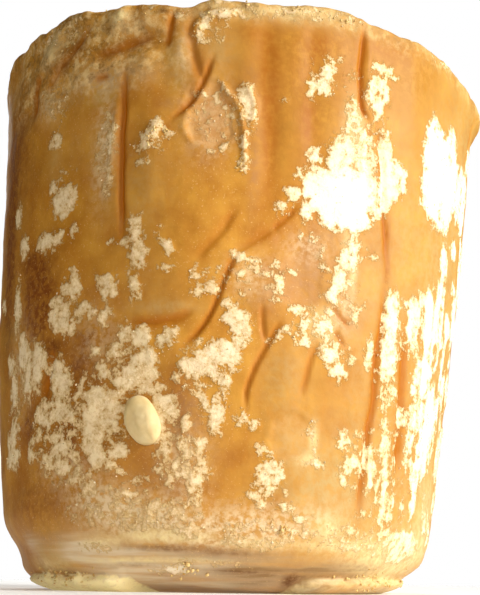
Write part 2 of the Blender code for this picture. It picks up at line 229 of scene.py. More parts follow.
@dataclass(frozen=True)
class FoldLine:
    """A line that the lining pressed into the wall, or a thin ridge where the rise is positive.

    A fold's lap is how far one side of it stands over the other.
    """
    path: tuple[tuple[float, float], ...]
    rise: float
    width: float
    lap: float = 0.0

    def curve(self, steps: int = 5) -> Array:
        """The path smoothed into short legs.

        Args:
            steps: legs between one point of the path and the next.

        Returns:
            Rows of azimuth and height.
        """
        knots = np.array(self.path, dtype=float)
        knots = np.vstack([2.0 * knots[0] - knots[1], knots, 2.0 * knots[-1] - knots[-2]])
        share = np.linspace(0.0, 1.0, steps, endpoint=False)[:, None]
        legs = []
        for before, start, end, after in zip(knots, knots[1:], knots[2:], knots[3:]):
            bend = 2.0 * before - 5.0 * start + 4.0 * end - after
            twist = 3.0 * start - before - 3.0 * end + after
            legs.append(start + 0.5 * share * (end - before + share * (bend + share * twist)))
        return np.vstack([*legs, knots[-2:-1]])

    def line_at(self, height: Array, margin: float = 1.0, fade: float = 5.0) -> tuple[Array, Array]:
        """Where the line runs at each height.

        Args:
            height: millimetres above the base.
            margin: millimetres past the line's ends at which it starts to let go.
            fade: millimetres past its ends at which it has let go.

        Returns:
            The line's azimuth, and 1 beside its run fading to 0 past its ends.
        """
        climb = self.path[::-1]
        line = np.interp(height, [point[1] for point in climb], [point[0] for point in climb])
        beside = smooth_step(height, climb[0][1] - fade, climb[0][1] - margin)
        beside *= 1.0 - smooth_step(height, climb[-1][1] + margin, climb[-1][1] + fade)
        return line, beside

    def near(self, azimuth: Array, height: Array, reach: float) -> Array:
        """Whether each point lies near the box round the path.

        Args:
            azimuth, height: where on the wall, in degrees and millimetres.
            reach: how far out still counts, in millimetres.

        Returns:
            True or False for each point.
        """
        corners = np.array(self.path)
        middle = (corners.min(axis=0) + corners.max(axis=0)) / 2.0
        half = (corners.max(axis=0) - corners.min(axis=0)) / 2.0
        beside = np.abs(angle_between(azimuth, middle[0])) < half[0] + reach / (DEGREE * LEAST_RADIUS)
        return beside & (np.abs(height - middle[1]) < half[1] + reach)

    def measure(self, azimuth: Array, height: Array, degree: Array) -> tuple[Array, Array, Array]:
        """How each point lies to the line.

        Args:
            azimuth, height: where on the wall, in degrees and millimetres.
            degree: millimetres round the wall to a degree, at each point.

        Returns:
            Distance to the line, signed side of it, and share of the way along it.
        """
        nearest = np.full_like(height, np.inf)
        signed = np.zeros_like(height)
        position = np.zeros_like(height)
        curve = self.curve()
        legs = len(curve) - 1
        for leg in range(legs):
            (start_azimuth, start_height), (end_azimuth, end_height) = curve[leg:leg + 2]
            across = angle_between(azimuth, start_azimuth) * degree
            up = height - start_height
            run = (end_azimuth - start_azimuth) * degree
            climb = end_height - start_height
            length = np.hypot(run, climb)
            share = np.clip((across * run + up * climb) / length ** 2, 0.0, 1.0)
            distance = np.hypot(across - share * run, up - share * climb)
            closer = distance < nearest
            nearest = np.where(closer, distance, nearest)
            signed = np.where(closer, (across * -climb + up * run) / length, signed)
            position = np.where(closer, (leg + share) / legs, position)
        return nearest, signed, position


@dataclass(frozen=True)
class Scar:
    """A shallow plate where the skin has flaked off, with a raised edge."""
    azimuth: float
    height: float
    half_width: float
    half_height: float
    turn: float
    depth: float
    edge: float

    def radius_at(self, azimuth: Array, height: Array, degree: Array) -> Array:
        """Elliptic distance from the centre.

        Args:
            azimuth, height: where on the wall, in degrees and millimetres.
            degree: millimetres round the wall to a degree, at each point.

        Returns:
            0 in the middle and 1 at the plate's edge.
        """
        across = angle_between(azimuth, self.azimuth) * degree
        along, rise = turned(across, height - self.height, self.turn)
        return np.hypot(along / (self.half_width * degree), rise / self.half_height)


@dataclass(frozen=True)
class CrustArc:
    """A stretch of the crumb skirt at the foot, with the radius that it reaches."""
    start: float
    end: float
    reach: float


# Bulges and dips of the wall: azimuth, height, half width, half height and rise.
SWELLS = tuple(Cloud(*spot) for spot in (
    (-10, 62, 14, 17, 1.1), (-79, 48, 9, 3.5, 0.8), (-80, 14, 16, 6, -0.3), (-78, 7.5, 24, 3.6, -1.9),
    (88, 5, 26, 4, 1.2), (80, 101.5, 13, 2.6, 1.9), (-81, 101.5, 16, 2.5, 0.6), (-78, 62, 22, 52, -0.55),
    (72, 40, 22, 42, -0.85), (-46, 98.5, 4, 2.6, 0.5), (-26, 100.6, 5, 2.4, 0.8),
    (-38.5, 103, 4.5, 2, 0.6), (-20, 101.5, 3.5, 2, 0.5), (-32, 92.2, 7, 2.2, 0.5),
    (-55.5, 95.5, 4, 3, 0.3), (-46, 88.5, 2.6, 2.2, 0.5), (-26.3, 103, 2, 1.6, 0.6),
    (-19, 98.5, 3.4, 3.2, -0.6), (-12.5, 98, 2, 5, 0.5), (-17.3, 79.2, 1.7, 1.9, 0.55),
    (-16, 80.6, 0.8, 0.9, 0.4), (23, 42, 6, 5, 0.5), (17, 54, 5, 6, -0.4), (14, 38, 4, 6.5, 0.6),
))

# Each hanging fold: azimuth, half width in degrees, and rise in millimetres.
CURTAIN_FOLDS = (
    (2.8, 2.4, 0.20), (6.8, 2.2, -0.34), (12.2, 2.4, 0.12), (16.4, 1.8, -0.20), (22.5, 2.8, 0.15),
    (42, 3, 0.25), (-18, 3, 0.25),
)

# Folds pressed into the wall: path as azimuth and height, then rise, width and lap.
CREASES = (
    FoldLine(((-24.3, 93), (-24, 86), (-24.1, 79), (-23.7, 73), (-23.1, 67), (-22.6, 60)),
             -0.85, 0.58, 0.2),
    FoldLine(((-14, 104), (-14.4, 100), (-15.2, 96)), -0.6, 0.45, 0.2),
    FoldLine(((-10.5, 103.5), (-9.8, 97), (-8.4, 92), (-7.3, 89.5)), -0.35, 0.7, 0.2),
    FoldLine(((-5, 94), (-6.5, 90.5), (-7.8, 87.5), (-9.8, 85), (-13.8, 81.3)), -0.6, 0.40, 0.2),
    FoldLine(((26.9, 104.5), (26.7, 98), (26.6, 93), (27.6, 88), (29.8, 85.8)), -0.75, 0.45, 0),
    FoldLine(((29.6, 86), (29.8, 79), (29.6, 72)), -0.3, 0.4, 0.1),
    FoldLine(((31.4, 86), (33.4, 79), (34.6, 71), (35.5, 67), (37.4, 58)), -0.65, 0.5, -0.2),
    FoldLine(((36.8, 55), (37.2, 49), (36.1, 42), (36.7, 35), (35.7, 27), (35.5, 20), (35.2, 14)),
             -0.68, 0.5, 0.1),
    FoldLine(((14.2, 67.6), (12, 65), (9, 62.4)), -0.5, 0.4, 0.3),
    FoldLine(((2.6, 58.6), (0.4, 55), (-1.4, 50.3), (-3.2, 46.8), (-5.2, 44), (-8.8, 41.3)),
             -0.6, 0.40, 0.3),
    FoldLine(((9.5, 62.8), (6, 60.6), (2.4, 58.6)), -0.3, 0.6, 0.5),
    FoldLine(((1.6, 66), (-2, 61), (-6.5, 56.3)), -0.3, 0.7, 0.2),
    FoldLine(((12.5, 46.8), (10.5, 43.9), (8, 39.6), (6.1, 35.2), (5.8, 30.5)), -0.5, 0.38, 0.25),
    FoldLine(((8, 49.5), (8.5, 45.5), (9.4, 42.8)), -0.4, 0.4, 0.1),
    FoldLine(((20.7, 43), (19.3, 40), (17.8, 33.5)), -0.4, 0.45, 0.1),
    FoldLine(((23.6, 50.5), (25.6, 48.6), (28.5, 47.2)), -0.45, 0.35, 0.15),
    FoldLine(((24.6, 46), (26.8, 43.4)), -0.45, 0.35, 0.15),
    FoldLine(((44, 49), (45.6, 38), (46.2, 30), (47.8, 22)), -0.55, 0.75, 0.2),
    FoldLine(((-6.5, 47.8), (-10, 46.4), (-15, 45.7), (-20.5, 46.2)), -0.45, 0.5, -0.5),
    FoldLine(((-42.3, 42.6), (-41.5, 40), (-43, 37), (-44.2, 33.5)), -0.6, 0.5, 0.2),
    FoldLine(((-33.5, 102.5), (-37, 98.3), (-43.5, 94.5), (-46.5, 91)), -0.36, 0.6, 0.3),
    FoldLine(((-17.5, 99), (-22, 97.4), (-27, 96.6), (-31.5, 95.3)), -0.36, 0.55, 0.4),
    FoldLine(((-28.2, 91.7), (-31.4, 91.3)), -0.45, 0.4, 0),
    FoldLine(((-50, 96.5), (-51.5, 92.5), (-52, 88)), -0.5, 0.6, 0.2),
    FoldLine(((74, 100), (71, 80), (75, 58), (72, 40)), -0.8, 0.5, -0.4),
    FoldLine(((108, 104), (111, 84), (104, 66)), -0.95, 0.5, 0.5),
    FoldLine(((128, 70), (119, 52), (121, 24)), -0.9, 0.5, 0.5),
    FoldLine(((150, 104), (147, 82), (153, 58), (149, 30)), -1.1, 0.55, -0.5),
    FoldLine(((178, 92), (171, 74), (182, 52)), -0.9, 0.5, 0.5),
    FoldLine(((204, 104), (208, 78), (199, 44), (203, 18)), -1.1, 0.55, 0.5),
    FoldLine(((232, 98), (226, 74), (234, 60)), -0.9, 0.5, -0.4),
    FoldLine(((254, 80), (249, 56), (256, 26)), -0.9, 0.5, 0.5),
)

# Thin raised edges: path, rise and width.
RIDGES = (
    FoldLine(((-3.4, 89.4), (-1.8, 87.4), (0, 85.4), (1.3, 82.6), (2, 79.5), (2.4, 76), (2.6, 73)),
             0.55, 0.45),
    FoldLine(((0.2, 88.6), (2.4, 88.2), (3.7, 86), (3.9, 83.5), (3.2, 80.6)), 0.5, 0.55),
    FoldLine(((-5.2, 88.6), (-8, 86), (-10.4, 82.2), (-10.3, 79.6), (-7.4, 76.6)), 0.22, 0.5),
    FoldLine(((-9, 97.4), (-9.2, 99.6), (-7.4, 101.2), (-3, 102), (-0.5, 102.2)), 0.55, 0.75),
    FoldLine(((-25.9, 86), (-26.2, 79), (-26.2, 72)), 0.3, 0.6),
    FoldLine(((28.4, 100), (28.4, 94), (28.8, 89.5)), 0.25, 0.5),
)

SCARS = (
    Scar(-5.3, 82.2, 5.2, 6.6, -8, 0.30, 0.06), Scar(16.5, 26.8, 5.4, 4.1, 0, 0.14, 0.08),
    Scar(16.5, 54.5, 5.2, 5.2, 20, 0.10, 0.03), Scar(140, 40, 7, 8, 15, 0.45, 0.12),
    Scar(218, 60, 6, 7, -20, 0.45, 0.12), Scar(265, 78, 7, 6, 10, 0.40, 0.12),
)

CRUST_ARCS = (
    CrustArc(-67, -23, 38.9), CrustArc(24, 96, 38.6), CrustArc(108, 152, 38.0),
    CrustArc(163, 204, 38.8), CrustArc(212, 252, 38.2),
)

# Tones that lie in patches on the poured top.
TOP_PATCHES = {
    "gold_and_painted_light": Ripple(0.9, 13.0, 4.0), "umber_and_painted_shade": Ripple(1.0, 13.0, 5.0), "haze_and_painted_light": Ripple(0.9, 13.0, 4.0),
    "frost": Ripple(1.2, 13.0, 5.0), "amber_and_painted_shade": Ripple(0.8, 13.0, 5.0), "olive": Ripple(0.7, 13.0, 5.0),
}

# Each chip or knob of the rim: azimuth, half width in degrees, and rise in millimetres.
RIM_CHIPS = (
    (-41, 6, 1.3), (-11, 5, -1.2), (21, 6, 1.0), (-68, 8, 0.7), (66, 9, -0.7), (-53, 6, 0.3),
    (-7, 3, 0.8), (14, 5, 0.5), (104, 6, -1.1), (138, 8, 0.8), (171, 6, -1.0), (214, 9, 0.9),
    (246, 7, -1.2),
)

FLAKE_AZIMUTH = -16.6
FLAKE_HEIGHT = 28.9


# ---------------------------------------------------------------- bloom, stains, and painted light and shade


@dataclass(frozen=True)
class Lobe:
    """One lobe of powdery bloom: a soft ellipse on the wall, in millimetres, turned in degrees."""
    azimuth: float
    height: float
    half_width: float
    half_height: float
    turn: float = 0.0
    thinness: float = 0.0

    def depth_at(self, azimuth: Array, height: Array, degree: Array, deepest: float = 0.9) -> Array:
        """How far inside the lobe each point lies.

        Args:
            azimuth, height: where on the wall, in degrees and millimetres.
            degree: millimetres round the wall to a degree, at each point.
            deepest: the most that counts, so that a large lobe is no deeper than a small one.

        Returns:
            Millimetres inside the lobe's outline, negative outside it.
        """
        across = angle_between(azimuth, self.azimuth) * degree
        along, rise = turned(across, height - self.height, self.turn)
        radius = np.hypot(along / self.half_width, rise / self.half_height)
        inside = (1.0 - radius) * min(self.half_width, self.half_height)
        return np.minimum(inside, deepest) - self.thinness


# Where the powder lies in front: azimuth, height, half width, half height, turn and thinness.
BLOOM: dict[str, tuple[tuple[float, ...], ...]] = {
    "speckled ground": (
        (-27, 31, 7, 9, 0, 0.75), (-19, 38, 5.5, 5.5, 0, 0.7), (-13, 30, 4.5, 6, 0, 0.7),
        (-42, 27, 6.5, 6, 0, 0.85), (-50, 39, 5, 7, 0, 0.85), (-37, 50, 4.5, 6, 0, 1),
        (-8, 22, 5.5, 5, 0, 0.75), (-3, 38, 6, 6, 0, 0.95), (12, 18, 4, 4.5, 0, 1.15),
        (5, 54, 8, 4, 0, 1.25), (43, 24, 6, 8, 0, 1.35), (41, 47, 4, 8, 0, 0.9), (54, 48, 7, 9, 0, 0.8),
        (57, 30, 8, 11, 0, 0.7), (25, 50, 5, 9, 20, 1.25), (26, 41, 4, 4, 0, 1), (18, 46, 4, 5, 0, 1.05),
        (16, 70, 4, 5, 0, 0.95), (-35, 20, 8, 3, 0, 1), (-20, 17, 8, 2.5, 0, 1.15),
        (33, 25, 3.5, 5.5, 0, 1.1), (-26, 53, 3, 3.5, 0, 0.95), (-19, 58, 3, 6, 0, 1.05),
        (-59, 30, 4, 10, 0, 0.9), (-44, 62, 5, 2.5, 0, 0.95), (-16, 13, 11, 3.4, 0, 0.8),
        (-30, 13, 6, 3, 0, 1.1), (11, 10, 9, 3.2, 0, 0.95), (-28, 78, 3, 8, 0, 1), (-5, 83, 5, 6, 0, 1.2),
        (32, 10, 9, 3, 0, 1.1), (-17, 78, 4.5, 3.5, 0, 1.15), (28, 92, 6, 5, 0, 1.3),
        (17, 92, 3, 4, 0, 1.15), (-40, 70, 5, 5, 0, 1.2), (2, 83, 3.5, 7, 0, 1.2),
        (-6, 99.5, 4.5, 4, 0, 1.15), (-43, 89, 6, 4, 0, 1.25), (50, 9, 9, 3, 0, 0.9),
    ),
    "rim": (
        (3, 103.2, 7, 2.2, 0, 1.15), (13, 103.2, 8, 2.2, 0, 1.1), (22, 103.8, 6, 2, 0, 1.15),
        (40, 104.9, 8, 1.2, 0, 1.3), (-3, 104.5, 5, 1.2, 0, 0.8), (-18, 104.3, 8, 1.2, 0, 1),
        (-42, 102, 10, 3, 0, 1.15), (52, 104.2, 8, 1.4, 0, 0.9), (90, 104, 18, 1.4, 0, 0.9),
        (140, 104, 18, 1.4, 0, 1), (190, 104, 18, 1.4, 0, 0.9), (240, 104, 18, 1.4, 0, 1),
    ),
    "wisps at the foot": (
        (-9.8, 3.5, 1.4, 0.9), (-6.8, 3.7, 1.2, 0.8), (-14, 3, 1.2, 0.4, 0, 0.1),
        (-50, 3.6, 2.4, 0.6, -8, 0.1), (-28, 7.5, 2.2, 0.6, 0, 0.2), (-1, 5, 4.5, 0.35, 0, 0.2),
        (36, 8.2, 9, 0.7, 0, 0.4), (57, 8.5, 6.5, 3, 0, 0.1),
    ),
    "upper left": (
        (-38.8, 69.5, 3.3, 3.4), (-43, 72.4, 1.3, 1.3), (-43.3, 81.5, 2.2, 1.9, 0, 0.35),
        (-58.8, 69.8, 1.7, 2.5), (-54.6, 63, 2.2, 2.5), (-44.5, 62.4, 3.5, 1.9), (-40.5, 62.6, 1.8, 1.6),
        (-36, 63.3, 1, 1.4, 30, 0.1), (-39.3, 75, 1.2, 0.6, 20), (-46.5, 91.4, 1.7, 0.6, 5),
        (-46.6, 89.6, 1, 0.7), (-44, 89, 1.1, 0.5, 30), (-44.5, 87.6, 0.8, 0.4, 30),
        (-41.5, 86, 0.8, 2, 0, 0.5),
    ),
    "left middle": (
        (-57.3, 52.5, 1.5, 5.2), (-37.5, 53, 1.8, 1.5), (-35, 53.3, 1.8, 2.4), (-39.5, 48.4, 3, 3.4),
        (-37, 46.2, 2.2, 2.2), (-41.9, 50.8, 1.2, 1.2), (-26.5, 53, 1.9, 2.5), (-24.5, 51.5, 1.2, 1.4),
        (-28, 54, 1, 1.3), (-19.3, 52.2, 1.2, 2.2), (-32.5, 48.8, 2.6, 1.4, 0, 0.15),
        (-29.8, 47.6, 1.6, 1.2, 0, 0.1), (-27.6, 46.8, 1.6, 1.5), (-25.4, 48.2, 1, 1),
        (-22.5, 60.2, 3, 0.8, 0, 0.4), (-36, 56.8, 1, 0.6, -30, 0.2), (-19.6, 62.2, 1.6, 2.7),
        (-18.6, 57.8, 1.9, 3, 0, 0.15), (-14.6, 61.3, 0.6, 1.2, 10), (-13.9, 60, 0.9, 0.7),
        (-12.2, 58.6, 1.2, 1, 40), (-13.1, 54.9, 1.2, 0.6), (-6.4, 53.6, 0.9, 1.7, 10),
        (-3.8, 54.2, 1.2, 0.8, 0, 0.1), (-3.2, 51.6, 1.6, 1.3, 0, 0.2), (-5.2, 51.2, 0.9, 0.7, 0, 0.1),
    ),
    "left low": (
        (-54, 43, 2.5, 3.6), (-48.6, 39.4, 3.3, 4.7), (-46, 40.3, 2.3, 3.2), (-51.3, 37.2, 1.6, 2.4),
        (-62, 41.5, 2, 2.2), (-59.5, 36.4, 1.2, 3.6), (-57, 30.7, 1.5, 1.7, 0, 0.3), (-61, 27, 2.6, 3),
        (-59.6, 23.8, 3.5, 2.4), (-49.3, 24.5, 1.5, 2.5), (-40, 37.6, 2.3, 3.7), (-37.6, 36, 2.2, 2.8),
        (-43.6, 31, 3.8, 2.6), (-38.6, 31.2, 3, 2.3), (-35.3, 30, 2, 1.6, 0, 0.2),
        (-46.8, 27.2, 2.2, 2.4, 0, 0.45), (-40, 26.6, 1.5, 1.6, 0, 0.1), (-41, 22.6, 3.3, 2.2, 0, 0.4),
        (-38, 23.6, 2.6, 2.8, 0, 0.1), (-43.6, 23.1, 1.4, 1.2, 0, 0.3), (-36.8, 20.8, 2.4, 1.5, 0, 0.05),
        (-34, 23, 1.2, 2.6, 0, 0.2),
    ),
    "beside the flake": (
        (-21.5, 44, 1.6, 2.2), (-17.6, 43, 2.2, 2.2), (-11, 43.2, 1.8, 1.9), (-13, 42.3, 1.1, 1.3),
        (-24.2, 41.2, 1.7, 2), (-28.8, 41.2, 1.4, 0.9), (-27.4, 38.3, 1.7, 1.5, 0, 0.25),
        (-16.9, 38.6, 2.7, 3.1), (-19.6, 36.2, 2.3, 2.3), (-15, 36.2, 1.6, 2.4), (-21.6, 35.7, 1.6, 1.6),
        (-16.5, 34.2, 3.6, 1.3), (-29.2, 33.2, 2, 2.2), (-26.3, 31.2, 3.3, 4), (-29.6, 29.6, 2.2, 3.2),
        (-28.4, 25.4, 2.8, 3.2), (-27, 22.4, 2.4, 2), (-22.6, 23.6, 2.2, 1.7), (-24.2, 21.4, 1.6, 1.2),
        (-23, 29.4, 1.5, 3), (-12.4, 32.1, 2.6, 1.8), (-13.3, 28.6, 1.8, 3.9),
        (-10.4, 30.8, 1.5, 2.2, 0, 0.25), (-11.4, 25.8, 1.4, 1), (-9.4, 36.1, 1.4, 1.2, 0, 0.35),
        (-7, 28.3, 1.1, 1.6), (-32.6, 21, 1.2, 1, 0, 0.2),
    ),
    "middle": (
        (-5.6, 37.8, 2.4, 2.2), (-7.6, 38.6, 1.2, 1), (0, 40.3, 2.8, 2.7), (2.4, 39.4, 1.6, 2.4),
        (-3, 38.8, 2.8, 2.7), (0, 36.2, 1.9, 1.7), (1.8, 47, 1.9, 2), (3.8, 44.8, 2, 3.4),
        (1, 49.2, 0.9, 0.9), (-2.9, 31.2, 0.8, 2.4), (-0.5, 30, 1.6, 4), (1, 33, 0.6, 1.6),
        (5.5, 29.3, 1.4, 1.3), (7.8, 28.5, 1.3, 1), (10, 24.3, 0.9, 1), (11.5, 22.6, 0.9, 1.2),
        (12.3, 20.2, 2.6, 2.4), (12, 17.6, 1.2, 1.5), (9, 16.5, 1.5, 0.9), (7, 15.6, 0.8, 0.6),
        (10.6, 15, 1, 0.8), (15.5, 14.8, 1.7, 0.7), (19.4, 12.9, 1.8, 0.7, 0, 0.1), (17.3, 11, 0.7, 0.6),
        (22, 10.3, 0.6, 0.6), (22.2, 22.4, 1.5, 0.6), (20.8, 27.8, 0.7, 1.5, 0, 0.1),
        (21.5, 24.8, 0.6, 1.7, 0, 0.1),
    ),
    "specks low in the middle": (
        (-10.5, 23.8, 1.6, 1.7, 0, 0.3), (-7, 24.3, 2, 1.7, 0, 0.35), (-4, 25, 1.6, 1.4, 0, 0.2),
        (-8.5, 21.4, 1.8, 1.4, 0, 0.35), (-3.2, 22, 1, 1.5, 0, 0.2), (-4.3, 18.4, 1.3, 3.2),
        (-9.5, 18.8, 1, 1.3), (-7.4, 19.9, 1.9, 1.2, 0, 0.15), (-2, 20.2, 1.2, 1, 0, 0.25),
        (-20.2, 16.5, 1.6, 0.7, 15), (-17, 18.6, 1.4, 0.6, -20), (-22, 20.2, 0.8, 0.7),
        (-33.5, 19.3, 3, 1.1, 10, 0.35), (-29.8, 17.6, 2.2, 1.9, 0, 0.45), (-7, 14.6, 2.6, 0.8, 0, 0.3),
        (-5.5, 10.4, 3.2, 1.4, 0, 0.45),
    ),
    "marks up the front": (
        (-17.6, 78.6, 1.8, 2.7, 25), (-16.2, 80.4, 1.2, 1.6), (-13.6, 79.4, 1.4, 0.7),
        (-18.7, 74.8, 1.2, 1, 0, 0.1), (-21, 77.5, 1, 0.6, -20, 0.1), (-27, 78.6, 1, 3.6, 0, 0.05),
        (-26.8, 72.4, 0.9, 2.8, 0, 0.1), (-28, 83.4, 1.1, 2.2, 0, 0.3), (-2.3, 77.2, 0.9, 1.2, 15),
        (-4.2, 76.2, 0.7, 0.5), (-6.3, 86.6, 0.6, 1), (-8.4, 83.6, 0.5, 1.8, 0, 0.15),
        (-2.6, 88, 0.4, 1.5, -30), (2.1, 86.6, 1.6, 2), (3, 83.4, 1.1, 2.8), (2.2, 79.2, 0.6, 2.4),
        (2.2, 74.4, 1, 1.8), (1.2, 82.6, 0.5, 2.6, 0, 0.1), (10.5, 86.7, 0.9, 0.8, 0, 0.2),
        (-8.3, 98, 1.1, 1.7), (-7.6, 99.8, 1.2, 1.2), (-6.4, 100.8, 1.5, 1.1), (-4, 101.7, 2.6, 1.1),
        (-0.8, 102.2, 2.2, 1), (-12.6, 103, 1.2, 0.7, 0, 0.1), (3.2, 57, 1.8, 1.1, 10),
        (6.3, 56, 0.8, 1.3), (3, 54.3, 1.2, 1.1, 0, 0.2), (8, 54.6, 0.8, 0.8, 0, 0.2), (11, 56, 0.7, 1.2),
        (10.8, 54, 0.7, 1.2), (12.8, 55.6, 1.2, 0.4), (11, 52.5, 1.3, 0.7), (11.2, 50.5, 0.7, 0.5),
        (21.5, 57, 0.8, 0.8), (18, 61.8, 1, 0.8, 0, 0.2), (15.8, 62.2, 0.9, 0.9, 0, 0.25),
        (20.3, 60, 0.6, 1.4, 0, 0.2),
    ),
    "upper right": (
        (16, 90.4, 1.3, 2.6), (18.2, 90.8, 2.2, 2.5), (18.9, 94, 1.2, 1.7), (31.2, 91.8, 2.7, 4),
        (31, 96.6, 1.6, 1.3), (34.4, 96.4, 1.3, 0.8), (31.4, 88.4, 1.9, 2),
        (21.5, 95.6, 0.8, 0.7, 0, 0.3),
    ),
    "triangle": (
        (25.9, 82.6, 2.3, 6, 0, 0.35), (23.4, 77.4, 3.2, 5.4, 0, 0.15), (29.6, 81.5, 1.5, 4, 0, 0.2),
        (23.5, 70.2, 5.2, 5.6), (28, 76, 4, 9, 0, 0.15), (33.4, 80, 2.6, 6.2), (36.6, 76, 3.6, 4.2),
        (33, 72.4, 3.4, 4.4), (17.6, 71.6, 2.6, 4.4), (17.4, 77, 1.3, 2.4), (14.3, 72.8, 0.9, 1.2),
        (13.1, 69.6, 1.7, 1.6), (10.8, 66.6, 0.9, 1.7, -20), (16, 66.4, 1.1, 1.4, 30), (32, 87, 1.3, 1.4),
        (25.4, 88.4, 1.1, 1.8), (28, 66.6, 3.2, 2),
    ),
    "right side": (
        (50, 86, 3.6, 6.4), (50.6, 77, 3.8, 6), (57, 82, 5, 8), (56, 74.2, 5, 4.4),
        (58.6, 89.2, 2.6, 3.6), (65, 81, 5, 6), (71, 80, 4.4, 7), (66, 68.4, 2.4, 2.2),
        (59.2, 64, 2.2, 3.8), (58.5, 57, 2.8, 4.4), (78, 66, 3.6, 6), (74, 90, 3, 3), (66, 44, 1.2, 3),
        (69, 61, 1.4, 1.8), (73, 34.5, 1.1, 2.4), (66, 36, 1, 2.2), (71, 24, 1.6, 1.2), (64, 18, 1, 2.6),
        (73, 71, 1.2, 2), (80, 72, 1.6, 2.4), (83, 60, 1.2, 2), (77, 47, 1, 1.4), (80, 40, 1.4, 2.2),
        (72, 55, 2.4, 5), (67, 52, 2.4, 3),
    ),
    "right of the middle": (
        (28, 61.2, 1.4, 2.4, 15), (26.6, 58.6, 2, 2.9, 15), (25, 55.4, 1.9, 2.9, 15),
        (23.6, 52.4, 1.4, 2.2), (15.5, 48.7, 2.3, 1.2, 0, 0.2), (17.3, 46.6, 1.3, 2.7, 0, 0.1),
        (18, 43.5, 1, 1.5), (21, 47, 2, 2.8, 0, 0.4), (13.4, 45, 1.5, 0.9, -15, 0.2),
        (12.1, 43.8, 1.3, 0.5, -35), (22.8, 47.4, 1.3, 2.7), (22.8, 41.8, 1.7, 1.6), (24.6, 41.2, 2.2, 3),
        (26.4, 39, 1.4, 2.4, -25), (28.2, 37.8, 0.8, 0.9), (39.8, 50.4, 2.4, 5), (39.4, 43, 2.2, 6.4),
        (38.3, 42.5, 1.1, 2.4), (45, 53.6, 1.6, 1.4), (34, 43.3, 1.2, 2.5), (39.5, 35.8, 1.1, 3.6),
        (43, 36.4, 0.8, 1.7, 0, 0.1), (44.3, 34, 0.6, 1.7), (29, 50.9, 0.9, 0.5), (29.4, 49, 0.6, 1),
        (31.5, 51.8, 0.8, 0.6), (32.5, 60.8, 1.6, 0.8, 0, 0.2),
    ),
    "right low": (
        (39.3, 30.1, 1.6, 0.9, -15), (40.6, 26.8, 0.8, 2.4, 0, 0.1), (38, 21.8, 0.7, 3.2, 0, 0.1),
        (43.4, 18.6, 0.7, 4, 0, 0.1), (41, 20, 0.5, 2.6, 0, 0.1), (46.8, 17.5, 0.6, 3, 0, 0.2),
        (51.4, 16.4, 1, 3.4, 0, 0.1), (49, 22.6, 0.7, 3.2, 0, 0.1), (29.4, 26.8, 1.6, 2),
        (31.4, 22.8, 1.6, 3.4), (33.3, 24.8, 1.4, 5.2), (30.4, 24.8, 1.2, 1.6), (38, 14.2, 1.6, 0.7),
        (48, 49, 2.6, 3.2), (52, 51.6, 5.4, 5.4), (58.6, 52.4, 3.6, 5), (50, 46.6, 3, 1.9),
        (62.5, 48.8, 2.6, 1.3), (53, 41, 3.8, 3.7), (50.2, 38, 1.8, 1.4), (50.6, 31.6, 3.5, 4.6),
        (58, 31, 5.5, 6), (51.4, 25.6, 2.6, 4), (64, 31, 4, 5.6), (57.5, 34.6, 3, 2),
        (53.6, 26, 2.5, 4.2), (55.4, 22, 2.4, 3.6), (61.4, 25.4, 4, 3.2), (56.6, 16.6, 1.4, 3),
        (53, 10, 3.4, 2.2, 0, 0.1), (57.8, 9.6, 3.8, 2.4, 0, 0.35), (42, 8.4, 4.4, 1.1, 0, 0.45),
        (70, 40, 3, 4), (76, 28, 3.6, 6), (68, 14, 4, 3, 0, 0.3),
    ),
}
